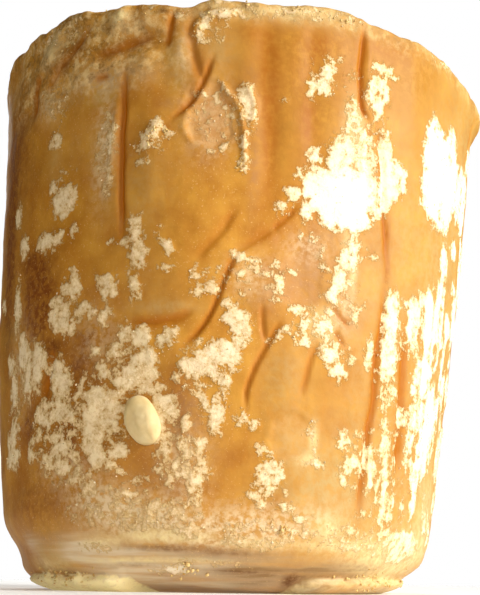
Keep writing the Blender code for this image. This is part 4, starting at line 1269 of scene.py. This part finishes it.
        wall, tints = self.sculptor.wall(azimuth, height)
        over = np.clip(height - (form.height - form.rim_rounding), 0.0, form.rim_rounding)
        wall -= form.rim_rounding - np.sqrt(form.rim_rounding ** 2 - over ** 2)
        crest = self.sculptor.rim_height(azimuth)
        poured, rim_share = self.pour_top(azimuth, radius, crest)
        rim_part = smooth_step(height, form.height - self.crest_reach, form.height)
        up = height + (crest - form.height) * rim_part
        up += self.lift_notch(azimuth, height)

        new_radius = np.where(on_wall, wall, np.where(on_top, radius / self.rim * wall, radius))
        new_height = np.where(on_wall, up, np.where(on_top, poured, 0.0))
        top_crumb = self.top_crumb_share + (1.0 - self.top_crumb_share) * rim_share
        crumbly = np.where(on_base, self.base_crumb_share, tints["crumbly"])
        tints["crumbly"] = np.where(on_top, top_crumb, crumbly)
        # Painted fold shade lies only on the wall.
        tints["painted_fold_shade"] = np.where(on_wall, tints["painted_fold_shade"], 0.0)
        self.tint_top(points, on_top, rim_share, tints)
        return form.place(azimuth, new_radius, new_height), tints

    def build(self, finish: bpy.types.Material) -> bpy.types.Object:
        """Build the block over its solid, and keep the shift that lays it there.

        Args:
            finish: the material of the whole block.

        Returns:
            The dressed piece, which replaces the plain solid.
        """
        mesh = turned_blank("set_block", self.profile(), self.columns)
        points, tints = self.shape(read_points(mesh))
        low, high = (np.array(corner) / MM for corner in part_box(BLOCK_NODE))
        self.shift = (low + high - points.min(axis=0) - points.max(axis=0)) / 2.0
        self.shift[2] = low[2] - points[:, 2].min()
        write_points(mesh, points + self.shift)
        write_tints(mesh, tints)
        piece = add_piece("set_block", mesh, finish)
        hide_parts(BLOCK_NODE)
        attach(piece, BODY)
        LOG.info("set_block: %d points, shifted %s mm", len(points), np.round(self.shift, 3))
        return piece

    def stand_on_wall(self, azimuth: Array, height: Array, outward: Array) -> Array:
        """Points a given distance outside the finished wall.

        Args:
            azimuth, height: where on the wall, in degrees and millimetres.
            outward: millimetres outside the wall.

        Returns:
            Rows of x, y and z in millimetres, in the frame.
        """
        wall, _ = self.sculptor.wall(azimuth, height)
        return self.form.place(azimuth, wall + outward, height) + self.shift


@dataclass
class PaleFlake:
    """The pale oval flake of dried sugar stuck low on the front, in millimetres."""
    block: JaggeryBlock
    half_width: float = 3.15
    half_height: float = 4.25
    slant: float = 0.24
    thickness: float = 1.9
    doming: float = 0.7
    dent: Ripple = Ripple(1.0, 2.4, 5.0)
    grit: Ripple = Ripple(0.03, 0.7, 9.0)

    def build(self, finish: bpy.types.Material) -> bpy.types.Object:
        """Lay the flake on the wall as a thin lens with an uneven edge.

        Args:
            finish: its material.

        Returns:
            The dressed piece, which replaces the plain lens.
        """
        cage = bmesh.new()
        bmesh.ops.create_uvsphere(cage, u_segments=72, v_segments=48, radius=MM)
        mesh = bpy.data.meshes.new("dried_sugar_flake")
        cage.to_mesh(mesh)
        cage.free()
        unit = read_points(mesh)
        dent = self.dent.at(unit * 3.0)
        up = unit[:, 2] * self.half_height * (1.0 + 0.04 * dent)
        across = unit[:, 0] * self.half_width * (1.0 - 0.05 * unit[:, 2]) * (1.0 + 0.05 * dent)
        across -= self.slant * up
        dome = np.clip(-unit[:, 1], 0.0, 1.0) ** self.doming
        outward = dome * self.thickness * (1.0 + 0.08 * dent) + self.grit.at(unit * 3.0)
        height = FLAKE_HEIGHT + up
        azimuth = FLAKE_AZIMUTH + across / self.block.sculptor.degree(height)
        write_points(mesh, self.block.stand_on_wall(azimuth, height, outward))
        piece = add_piece("dried_sugar_flake", mesh, finish)
        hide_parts(FLAKE_NODE)
        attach(piece, BODY)
        LOG.info("dried_sugar_flake: %d points", len(unit))
        return piece


@dataclass(frozen=True)
class Sprinkle:
    """A spot where loose grains lie thick: its place and reach on the wall, and how many."""
    azimuth: float
    height: float
    half_width: float
    half_height: float
    count: int


@dataclass
class LooseGrains:
    """Grains and crumbs of one kind, real lumps joined into one mesh.

    Radii are in millimetres, the sprinkles are spots where they lie thick, and on_bloom is how
    many lie anywhere on the powder. A grain's middle stands off the wall by a share of its radius.
    """
    name: str
    block: JaggeryBlock
    smallest: float
    largest: float
    seed: int
    sprinkles: tuple[Sprinkle, ...] = ()
    on_bloom: int = 0
    roundness: int = 1
    tries_per_grain: int = 14
    bloom_depths: tuple[float, float] = (-0.4, 1.5)
    stand_off: float = 0.35
    dent: float = 0.20

    def places(self, rng: np.random.Generator) -> tuple[Array, Array]:
        """Choose where the grains lie.

        Args:
            rng: the seeded source of chance.

        Returns:
            Azimuths in degrees and heights in millimetres.
        """
        azimuths: list[Array] = []
        heights: list[Array] = []
        for spot in self.sprinkles:
            azimuths.append(rng.normal(spot.azimuth, spot.half_width / 2.0, spot.count))
            heights.append(rng.normal(spot.height, spot.half_height / 2.0, spot.count))
        if self.on_bloom:
            tries = self.on_bloom * self.tries_per_grain
            azimuth = rng.uniform(-180.0, 180.0, tries)
            height = rng.uniform(3.0, 104.0, tries)
            depth = self.block.sculptor.bloom.depth(azimuth, height)
            least, most = self.bloom_depths
            kept = np.flatnonzero((depth > least) & (depth < most))[:self.on_bloom]
            azimuths.append(azimuth[kept])
            heights.append(height[kept])
        height = np.clip(np.concatenate(heights), 0.6, self.block.form.height - 0.3)
        return np.concatenate(azimuths), height

    def build(self, finish: bpy.types.Material) -> bpy.types.Object:
        """Scatter the grains and join them into one piece.

        Args:
            finish: their material.

        Returns:
            The joined piece.
        """
        rng = np.random.default_rng(self.seed)
        azimuth, height = self.places(rng)
        count = len(azimuth)
        size = self.smallest + (self.largest - self.smallest) * rng.beta(1.2, 3.0, count)
        centres = self.block.stand_on_wall(azimuth, height, self.stand_off * size)
        cage = bmesh.new()
        bmesh.ops.create_icosphere(cage, subdivisions=self.roundness, radius=1.0)
        lump = np.array([vertex.co[:] for vertex in cage.verts])
        faces = np.array([[vertex.index for vertex in face.verts] for face in cage.faces])
        cage.free()
        squeeze = rng.uniform(0.45, 1.25, (count, 1, 3))
        dents = 1.0 + rng.normal(0.0, self.dent, (count, len(lump), 1))
        turns = np.array([Matrix.Rotation(angle, 3, Vector(axis)) for angle, axis in
                          zip(rng.uniform(0.0, FULL_TURN, count), rng.normal(size=(count, 3)))])
        shaped = np.einsum("nij,nkj->nki", turns, lump[None] * squeeze * dents)
        points = centres[:, None, :] + shaped * size[:, None, None]
        joined = faces[None] + (np.arange(count) * len(lump))[:, None, None]
        mesh = bpy.data.meshes.new(self.name)
        mesh.from_pydata((points.reshape(-1, 3) * MM).tolist(), [], joined.reshape(-1, 3).tolist())
        piece = add_piece(self.name, mesh, finish)
        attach(piece, BODY)
        LOG.info("%s: %d grains, %d triangles", self.name, count, count * len(faces))
        return piece


# ---------------------------------------------------------------- finishes


def linear(colour: str) -> tuple[float, float, float, float]:
    """Turn an sRGB hex colour into linear light.

    Args:
        colour: a hash sign and six hex digits.

    Returns:
        Red, green, blue and alpha.
    """
    channels = [int(colour[start:start + 2], 16) / 255.0 for start in (1, 3, 5)]
    flat = [value / 12.92 if value <= 0.04045 else ((value + 0.055) / 1.055) ** 2.4 for value in channels]
    return (flat[0], flat[1], flat[2], 1.0)


def per_mm(size: float) -> float:
    """Texture scale that gives features of a size in millimetres on coordinates in metres."""
    return 1.0 / (size * MM)


def add_node(tree: bpy.types.NodeTree, kind: str, inputs: dict[Any, Any] | None = None,
             **settings: Any) -> bpy.types.Node:
    """Add a node with its settings, and set or link its inputs.

    Args:
        tree: the tree that it goes into.
        kind: Blender's name for the node.
        inputs: for each input, by name or place, a value to set or an output to link.
        settings: the node's own properties.

    Returns:
        The new node.
    """
    node = tree.nodes.new(kind)
    for name, value in settings.items():
        setattr(node, name, value)
    for place, value in (inputs or {}).items():
        if isinstance(value, bpy.types.NodeSocket):
            tree.links.new(value, node.inputs[place])
        else:
            node.inputs[place].default_value = value
    return node


def start_material(name: str) -> tuple[bpy.types.Material, bpy.types.NodeTree]:
    """Start a material.

    Args:
        name: what it is called.

    Returns:
        The material and its empty node tree.
    """
    material = bpy.data.materials.new(name)
    material.use_nodes = True
    material.node_tree.nodes.clear()
    return material, material.node_tree


def lay_coats(tree: bpy.types.NodeTree, colour: Any, coats: list[tuple[Any, Any]]) -> Any:
    """Lay coats of colour over one another.

    Args:
        tree: the tree that they go into.
        colour: what lies underneath, a linear colour or an output.
        coats: for each coat, the output that says how much of it there is, and its colour.

    Returns:
        The output with the finished colour.
    """
    for share, over in coats:
        colour = add_node(tree, "ShaderNodeMix", {
            "Factor": share, 6: colour, 7: over,
        }, data_type="RGBA").outputs[2]
    return colour


@dataclass(frozen=True)
class ClothSetJaggery:
    """Cane jaggery, boiled and set against a cloth lining.

    Sugar set from a hot pour is faintly translucent and waxy, so light goes in a millimetre or
    two and the gloss is broad. The lining drags fine upright streaks into it. Where it has dried,
    sugar comes out of it as a crisp white bloom that takes no gloss at all.

    Each tone's colour stands beside how strongly it covers. Every size in mm is a real one, except
    that the powder's grain is drawn about twice as coarse as it is, so that it shows.
    """
    name: str = "jaggery_set_in_cloth"
    # The sugar itself, cloudy between two tones, with the cloth's streaks.
    deep: str = "#AE701A"
    light: str = "#CB9233"
    streak: str = "#BD7E26"
    # Stains that break up at their edges, in the order in which they lie; gold and haze also carry painted
    # light, blush a painted highlight, and toffee, amber and umber painted shade.
    broken_tones: tuple[tuple[str, str, float], ...] = (
        ("gold_and_painted_light", "#B9995E", 0.75), ("toffee_and_painted_shade", "#AE7826", 0.85), ("olive", "#B8903C", 0.65),
        ("blush_and_painted_highlight", "#AA7A4A", 0.80), ("haze_and_painted_light", "#C6A468", 0.80), ("amber_and_painted_shade", "#A4620E", 0.75),
        ("umber_and_painted_shade", "#7E440C", 0.85),
    )
    # Frost lies in flecks, and so do the crumbs of the shoulder: their pale tone is painted light on lumps,
    # their deep tone painted shade in hollows.
    frost: tuple[str, float] = ("#DEC49A", 0.85)
    shoulder_cover: float = 0.72
    shoulder: str = "#DDBD80"
    shoulder_painted_shade: str = "#8C6428"
    # The foot's dust, drawn out level where the block was turned on its end.
    banded_tones: tuple[tuple[str, str, float], ...] = (("ash", "#DCC8A6", 0.95), ("drab", "#957448", 0.90))
    # The dark brown late tone is painted shade in gaps, hollows and creases.
    late_tones: tuple[tuple[str, str, float], ...] = (
        ("cream", "#EBD69C", 0.75), ("painted_hollow_shade", "#6E4210", 0.80), ("raw", "#D09A5C", 0.70),
        ("crust", "#FAEAB4", 1.2),
    )
    # Painted shade in creases and fold valleys: the colour that the fold shade tint lays in.
    crease: str = "#AC6200"
    speck: str = "#E2BE80"
    powder: str = "#F4DEB4"
    powder_thin: str = "#D0AC70"
    # Whitest powder, mostly painted light where the chalk tint lies.
    powder_chalk_and_painted_light: str = "#F6EBD2"
    ior: float = 1.5
    specular: float = 0.18
    gloss_roughness: float = 0.50
    powder_roughness: float = 0.9
    translucence: float = 0.20
    depth_mm: float = 1.2
    waxy_bump_mm: float = 0.10
    powder_bump_mm: float = 0.18
    mottle_mm: float = 7.0
    streak_mm: float = 1.1
    streak_length_mm: float = 16.0
    level_streak_mm: float = 1.0
    ragged_mm: float = 1.3
    grain_mm: float = 0.42
    crumb_mm: float = 2.8
    column_mm: float = 2.9
    fleck_mm: float = 1.1

    def tint(self, tree: bpy.types.NodeTree, name: str) -> bpy.types.NodeSocket:
        """The output that reads one of the mesh's tints."""
        return add_node(tree, "ShaderNodeAttribute", attribute_name=name).outputs["Fac"]

    def patterns(self, tree: bpy.types.NodeTree) -> dict[str, bpy.types.NodeSocket]:
        """Every pattern in the sugar, each at its own size.

        Args:
            tree: the material's tree.

        Returns:
            The outputs by name: bare noises first, then the masks made from them.
        """
        place = add_node(tree, "ShaderNodeTexCoord").outputs["Object"]
        upright = self.streak_mm / self.streak_length_mm
        level = self.level_streak_mm / self.streak_length_mm
        drawn_out = add_node(tree, "ShaderNodeMapping", {
            "Vector": place, "Scale": (1.0, 1.0, upright),
        }).outputs["Vector"]
        levelled = add_node(tree, "ShaderNodeMapping", {
            "Vector": place, "Scale": (level, level, 1.0),
        }).outputs["Vector"]
        # Each noise: its name, coordinates, size in mm, detail and roughness.
        noises = (
            ("mottle", place, self.mottle_mm, 6.0, 0.6),
            ("streaks", drawn_out, self.streak_mm, 3.0, 0.55),
            ("ragged", place, self.ragged_mm, 4.0, 0.65),
            ("grain", place, self.grain_mm, 3.0, 0.7),
            ("flecks", place, self.fleck_mm, 4.0, 0.6),
            ("bands", levelled, self.level_streak_mm, 3.0, 0.6),
            ("crumbs", place, self.crumb_mm, 5.0, 0.65),
            ("columns", drawn_out, self.column_mm, 3.0, 0.5),
        )
        found = {}
        for name, vector, size, detail, roughness in noises:
            found[name] = add_node(tree, "ShaderNodeTexNoise", {
                "Vector": vector, "Scale": per_mm(size), "Detail": detail, "Roughness": roughness,
            }).outputs["Fac"]
        # Each mask: its name, its noise, the noise's levels that it spans, and what it runs between.
        masks = (
            ("cloudy", "mottle", 0.35, 0.65, 0.0, 1.0),
            ("dragged", "streaks", 0.50, 0.72, 0.0, 0.5),
            ("broken", "ragged", 0.38, 0.60, 0.0, 1.0),
            ("flecked", "flecks", 0.40, 0.60, 0.0, 1.0),
            ("banded", "bands", 0.35, 0.65, -0.2, 1.0),
            ("crumbled", "crumbs", 0.43, 0.57, 0.0, 1.0),
            ("specks", "grain", 0.60, 0.70, 0.0, 0.55),
        )
        for name, source, low, high, least, most in masks:
            found[name] = add_node(tree, "ShaderNodeMapRange", {
                "Value": found[source], "From Min": low, "From Max": high, "To Min": least, "To Max": most,
            }).outputs["Result"]
        return found

    def bare_sugar(self, tree: bpy.types.NodeTree, found: dict[str, bpy.types.NodeSocket]) -> Any:
        """The colour of the sugar without its bloom.

        Args:
            tree: the material's tree.
            found: its patterns.

        Returns:
            The colour's output.
        """
        # Painted light and shade on the shoulder: a crumb noise lays lit and shaded tones of the same
        # crumbs.
        shoulder = lay_coats(tree, linear(self.shoulder_painted_shade), [(found["crumbled"], linear(self.shoulder))])
        frost, frost_cover = self.frost
        # A cover's mask varies it by the first share and leaves it at least the second.
        broken = ("broken", 0.7, 0.6)
        flecked = ("flecked", 1.2, 0.15)
        banded = ("banded", 0.7, 0.6)
        stains = [(tint, linear(colour), cover, broken) for tint, colour, cover in self.broken_tones]
        stains.append(("frost", linear(frost), frost_cover, flecked))
        stains.append(("crumbly", shoulder, self.shoulder_cover, flecked))
        stains += [(tint, linear(colour), cover, banded) for tint, colour, cover in self.banded_tones]
        stains += [(tint, linear(colour), cover, broken) for tint, colour, cover in self.late_tones]
        coats = [(found["cloudy"], linear(self.light)), (found["dragged"], linear(self.streak))]
        for tint, colour, cover, (mask, varying, least) in stains:
            uneven = add_node(tree, "ShaderNodeMath", {
                0: found[mask], 1: cover * varying, 2: cover * least,
            }, operation="MULTIPLY_ADD").outputs[0]
            share = add_node(tree, "ShaderNodeMath", {
                0: self.tint(tree, tint), 1: uneven,
            }, operation="MULTIPLY", use_clamp=True).outputs[0]
            coats.append((share, colour))
        # The clean, smooth stretches hold no specks of undissolved sugar.
        specks = found["specks"]
        for smooth in ("toffee_and_painted_shade", "gold_and_painted_light"):
            specks = add_node(tree, "ShaderNodeMath", {
                0: specks, 1: self.tint(tree, smooth),
            }, operation="SUBTRACT", use_clamp=True).outputs[0]
        # The fold shade tint lays the crease colour in as painted shade.
        coats += [(specks, linear(self.speck)), (self.tint(tree, "painted_fold_shade"), linear(self.crease))]
        return lay_coats(tree, linear(self.deep), coats)

    def bloom_depth(self, tree: bpy.types.NodeTree, found: dict[str, bpy.types.NodeSocket]) -> Any:
        """How far inside the powder each point lies.

        Ragged noise breaks up its edge, grain pits it, the cloth's columns draw it out at the
        sides, and it cakes where the chalk tint lies, which is mostly painted light on the lit side.

        Args:
            tree: the material's tree.
            found: its patterns.

        Returns:
            The output, in about millimetres.
        """
        # The chalk tint, mostly painted light, cakes the powder thicker.
        caked = add_node(tree, "ShaderNodeMapRange", {
            "Value": self.tint(tree, "chalk_and_painted_light"), "From Min": 0.5, "From Max": 1.0, "To Max": 0.8,
        }).outputs["Result"]
        column = add_node(tree, "ShaderNodeMath", {
            0: found["columns"], 1: 7.0, 2: -3.5,
        }, operation="MULTIPLY_ADD").outputs[0]
        depth = add_node(tree, "ShaderNodeMath", {
            0: found["ragged"], 1: 4.6, 2: -3.2,
        }, operation="MULTIPLY_ADD").outputs[0]
        for part, share in (
            (found["grain"], 1.8), (self.tint(tree, "bloom"), 1.0), (self.tint(tree, "drawn"), column),
            (caked, 1.0),
        ):
            depth = add_node(tree, "ShaderNodeMath", {
                0: part, 1: share, 2: depth,
            }, operation="MULTIPLY_ADD").outputs[0]
        return depth

    def build(self) -> bpy.types.Material:
        """Wire the material.

        Returns:
            The finished material.
        """
        material, tree = start_material(self.name)
        found = self.patterns(tree)
        depth = self.bloom_depth(tree, found)
        powdered = add_node(tree, "ShaderNodeMapRange", {
            "Value": depth, "From Min": -0.20, "From Max": 0.38,
        }, interpolation_type="SMOOTHSTEP").outputs["Result"]
        thick = add_node(tree, "ShaderNodeMapRange", {
            "Value": depth, "From Min": 0.1, "From Max": 1.35,
        }).outputs["Result"]
        # Where the chalk tint lies the thick powder whitens, mostly as painted light.
        chalky_and_painted_light = add_node(tree, "ShaderNodeMath", {
            0: self.tint(tree, "chalk_and_painted_light"), 1: thick,
        }, operation="MULTIPLY").outputs[0]
        powder = lay_coats(tree, linear(self.powder_thin), [
            (thick, linear(self.powder)), (chalky_and_painted_light, linear(self.powder_chalk_and_painted_light)),
        ])
        colour = lay_coats(tree, self.bare_sugar(tree, found), [(powdered, powder)])

        dull = add_node(tree, "ShaderNodeMath", {
            0: powdered, 1: self.tint(tree, "crumbly"),
        }, operation="MAXIMUM").outputs[0]
        roughness = add_node(tree, "ShaderNodeMapRange", {
            "Value": dull, "To Min": self.gloss_roughness, "To Max": self.powder_roughness,
        }).outputs["Result"]
        waxy = add_node(tree, "ShaderNodeBump", {
            "Height": found["ragged"], "Distance": self.waxy_bump_mm * MM, "Strength": 0.6,
        }).outputs["Normal"]
        grainy = add_node(tree, "ShaderNodeMath", {
            0: found["grain"], 1: powdered,
        }, operation="MULTIPLY").outputs[0]
        raised = add_node(tree, "ShaderNodeMath", {
            0: powdered, 1: 0.5, 2: grainy,
        }, operation="MULTIPLY_ADD").outputs[0]
        dusty = add_node(tree, "ShaderNodeBump", {
            "Height": raised, "Distance": self.powder_bump_mm * MM, "Strength": 0.7, "Normal": waxy,
        }).outputs["Normal"]
        shader = add_node(tree, "ShaderNodeBsdfPrincipled", {
            "Base Color": colour, "Roughness": roughness, "Normal": dusty, "IOR": self.ior,
            "Specular IOR Level": self.specular, "Subsurface Weight": self.translucence,
            "Subsurface Radius": (1.0, 0.62, 0.32), "Subsurface Scale": self.depth_mm * MM,
        })
        add_node(tree, "ShaderNodeOutputMaterial", {"Surface": shader.outputs[0]})
        return material


@dataclass(frozen=True)
class DriedSugar:
    """Sugar dried to a pale crust: chalky, a little yellow, with no gloss to speak of."""
    name: str
    pale: str
    deep: str
    patch_mm: float
    bump_mm: float = 0.08
    depth_mm: float = 1.0
    ior: float = 1.5
    roughness: float = 0.72

    def build(self) -> bpy.types.Material:
        """Wire the material.

        Returns:
            The finished material.
        """
        material, tree = start_material(self.name)
        place = add_node(tree, "ShaderNodeTexCoord").outputs["Object"]
        patches = add_node(tree, "ShaderNodeTexNoise", {
            "Vector": place, "Scale": per_mm(self.patch_mm), "Detail": 4.0, "Roughness": 0.6,
        }).outputs["Fac"]
        share = add_node(tree, "ShaderNodeMapRange", {
            "Value": patches, "From Min": 0.35, "From Max": 0.65,
        }).outputs["Result"]
        bump = add_node(tree, "ShaderNodeBump", {
            "Height": patches, "Distance": self.bump_mm * MM, "Strength": 0.7,
        }).outputs["Normal"]
        shader = add_node(tree, "ShaderNodeBsdfPrincipled", {
            "Base Color": lay_coats(tree, linear(self.deep), [(share, linear(self.pale))]),
            "Roughness": self.roughness, "Normal": bump, "IOR": self.ior,
            "Subsurface Weight": 0.15, "Subsurface Radius": (1.0, 0.6, 0.3),
            "Subsurface Scale": self.depth_mm * MM,
        })
        add_node(tree, "ShaderNodeOutputMaterial", {"Surface": shader.outputs[0]})
        return material


# ---------------------------------------------------------------- studio


@dataclass(frozen=True)
class SoftLight:
    """A square soft box that looks at the block's middle, in degrees, metres and watts."""
    name: str
    azimuth: float
    elevation: float
    distance: float
    width: float
    power: float
    colour: str

    def build(self, target: Vector) -> bpy.types.Object:
        """Hang the light.

        Args:
            target: what it looks at, in metres.

        Returns:
            The light's object.
        """
        lamp = bpy.data.lights.new(self.name, "AREA")
        lamp.shape = "SQUARE"
        lamp.size = self.width
        lamp.energy = self.power
        lamp.color = linear(self.colour)[:3]
        turn = math.radians(self.azimuth)
        lift = math.radians(self.elevation)
        flat = math.cos(lift)
        direction = Vector((math.sin(turn) * flat, -math.cos(turn) * flat, math.sin(lift)))
        light = bpy.data.objects.new(self.name, lamp)
        light.location = target + direction * self.distance
        light.rotation_euler = direction.to_track_quat("Z", "Y").to_euler()
        light.visible_camera = False
        bpy.context.scene.collection.objects.link(light)
        LOG.info("%s: %.2f W at %.0f degrees", self.name, self.power, self.azimuth)
        return light


@dataclass(frozen=True)
class Studio:
    """A pale floor, a white surround and soft lights, in metres and watts."""
    floor_radius: float = 0.9
    floor_colour: str = "#F4F2EE"
    floor_roughness: float = 0.85
    floor_glow: float = 0.19
    solid_radius: float = 0.16
    clear_radius: float = 0.55
    surround_colour: str = "#FFFFFF"
    ambient_colour: str = "#FFF4E4"
    ambient: float = 0.07
    lights: tuple[SoftLight, ...] = (
        SoftLight("key_softbox", 60.0, 18.0, 0.75, 0.36, 8.3, "#FFFFFF"),
        SoftLight("front_fill", 2.0, 10.0, 0.90, 0.40, 2.4, "#FFF1DC"),
        SoftLight("back_fill", 190.0, 35.0, 0.90, 0.60, 5.0, "#FFFFFF"),
    )

    def build_floor(self, centre: Vector) -> bpy.types.Object:
        """A round floor that fades into the surround, so that it has no edge.

        Args:
            centre: where its middle lies, in metres.

        Returns:
            The floor's object.
        """
        material, tree = start_material("matt_paper_sweep")
        place = add_node(tree, "ShaderNodeTexCoord").outputs["Object"]
        reach = add_node(tree, "ShaderNodeVectorMath", {0: place}, operation="LENGTH").outputs["Value"]
        fade = add_node(tree, "ShaderNodeMapRange", {
            "Value": reach, "From Min": self.solid_radius, "From Max": self.clear_radius,
        }, interpolation_type="SMOOTHSTEP").outputs["Result"]
        paper = add_node(tree, "ShaderNodeBsdfPrincipled", {
            "Base Color": linear(self.floor_colour), "Roughness": self.floor_roughness,
            "Emission Color": linear(self.floor_colour), "Emission Strength": self.floor_glow,
        })
        clear = add_node(tree, "ShaderNodeBsdfTransparent")
        surface = add_node(tree, "ShaderNodeMixShader", {0: fade, 1: paper.outputs[0], 2: clear.outputs[0]})
        add_node(tree, "ShaderNodeOutputMaterial", {"Surface": surface.outputs[0]})
        cage = bmesh.new()
        bmesh.ops.create_circle(cage, cap_ends=True, segments=96, radius=self.floor_radius)
        mesh = bpy.data.meshes.new("paper_floor")
        cage.to_mesh(mesh)
        cage.free()
        floor = add_piece("paper_floor", mesh, material)
        floor.location = centre
        return floor

    def build_surround(self) -> bpy.types.World:
        """A world that is white to look at and gives a dimmer, even light.

        Returns:
            The scene's world.
        """
        world = bpy.data.worlds.new("white_surround")
        world.use_nodes = True
        tree = world.node_tree
        tree.nodes.clear()
        seen = add_node(tree, "ShaderNodeLightPath").outputs["Is Camera Ray"]
        light, white = (add_node(tree, "ShaderNodeBackground", {
            "Color": linear(colour), "Strength": strength,
        }) for colour, strength in ((self.ambient_colour, self.ambient), (self.surround_colour, 1.0)))
        both = add_node(tree, "ShaderNodeMixShader", {0: seen, 1: light.outputs[0], 2: white.outputs[0]})
        add_node(tree, "ShaderNodeOutputWorld", {"Surface": both.outputs[0]})
        bpy.context.scene.world = world
        return world

    def build(self, low: Vector, high: Vector) -> None:
        """Build the floor, the surround and the lights.

        Args:
            low: the lowest corner of the block's box, in metres.
            high: its highest corner.
        """
        self.build_floor(Vector(((low.x + high.x) / 2.0, (low.y + high.y) / 2.0, low.z)))
        self.build_surround()
        for light in self.lights:
            light.build((low + high) / 2.0)


@dataclass(frozen=True)
class Viewpoint:
    """Where the block is looked at from: close by, from just above the floor, a little upwards.

    Distances are in metres, turns in degrees, and the lens and its sensor in millimetres.
    """
    distance: float = 0.2512
    height: float = 0.0028
    aside: float = 0.00007
    pitch: float = 13.083
    roll: float = 0.8
    lens: float = 72.87
    sensor_height: float = 36.0
    nearest: float = 0.01

    def build(self, low: Vector, high: Vector) -> bpy.types.Object:
        """Set the scene's camera.

        Args:
            low: the lowest corner of the block's box, in metres.
            high: its highest corner.

        Returns:
            The camera's object.
        """
        camera = bpy.data.cameras.new("camera")
        camera.lens = self.lens
        camera.sensor_fit = "VERTICAL"
        camera.sensor_height = self.sensor_height
        camera.clip_start = self.nearest
        viewer = bpy.data.objects.new("camera", camera)
        spot = Vector(((low.x + high.x) / 2.0 + self.aside, (low.y + high.y) / 2.0 - self.distance,
                       low.z + self.height))
        tilt = Matrix.Rotation(math.radians(90.0 + self.pitch), 4, "X")
        turn = Matrix.Rotation(math.radians(self.roll), 4, "Z")
        viewer.matrix_world = Matrix.Translation(spot) @ tilt @ turn
        bpy.context.scene.collection.objects.link(viewer)
        bpy.context.scene.camera = viewer
        return viewer


class ViewTransform(Enum):
    """How scene light becomes screen colour."""
    PLAIN = "Standard"
    FILM = "AgX"


def main() -> None:
    """Build the block and what lies on it, light it and set the camera."""
    form = TubForm()
    sculptor = WallSculptor(form, BloomMap(form))
    block = JaggeryBlock(form, sculptor)
    block.build(ClothSetJaggery().build())
    # The flake is one dense drop of dried syrup, the crumbs are broken crust, the powder is bloom.
    PaleFlake(block).build(DriedSugar("dried_sugar_crust", "#E2CC98", "#D8BC80", 3.0).build())
    crumb = DriedSugar("crumbled_sugar", "#E6CB8C", "#C49A52", 2.0).build()
    powder = DriedSugar("powder_sugar", "#F5E4BF", "#E3C68F", 2.0).build()
    # Crumbs gather where the skin is torn, along the rim and round the foot.
    shoulder_spots = (
        Sprinkle(-17.5, 79.2, 2.0, 2.6, 14), Sprinkle(-13.5, 79.6, 1.2, 0.8, 5),
        Sprinkle(-4.0, 101.6, 4.0, 1.2, 10), Sprinkle(-8.6, 98.5, 0.9, 1.8, 5),
        Sprinkle(13.0, 104.0, 15.0, 1.2, 22), Sprinkle(-36.0, 100.0, 15.0, 5.0, 26),
        Sprinkle(1.5, 73.5, 1.0, 1.2, 10),
    )
    foot_spots = (
        Sprinkle(-46.0, 2.6, 14.0, 1.6, 50), Sprinkle(52.0, 2.6, 15.0, 1.6, 50),
        Sprinkle(-6.0, 3.8, 6.0, 1.2, 20), Sprinkle(170.0, 2.5, 60.0, 1.8, 110),
        Sprinkle(18.0, 10.5, 4.0, 1.4, 10),
    )
    LooseGrains("bloom_grains", block, 0.08, 0.26, seed=7, on_bloom=1500).build(powder)
    LooseGrains("shoulder_crumbs", block, 0.12, 0.45, seed=11, sprinkles=shoulder_spots).build(crumb)
    LooseGrains("foot_crumbs", block, 0.14, 0.5, seed=13, sprinkles=foot_spots).build(crumb)
    low, high = (Vector(corner) for corner in CAD_BOX)
    Studio().build(low, high)
    Viewpoint().build(low, high)
    bpy.context.scene.view_settings.view_transform = ViewTransform.PLAIN.value


if __name__ == "__main__":
    main()
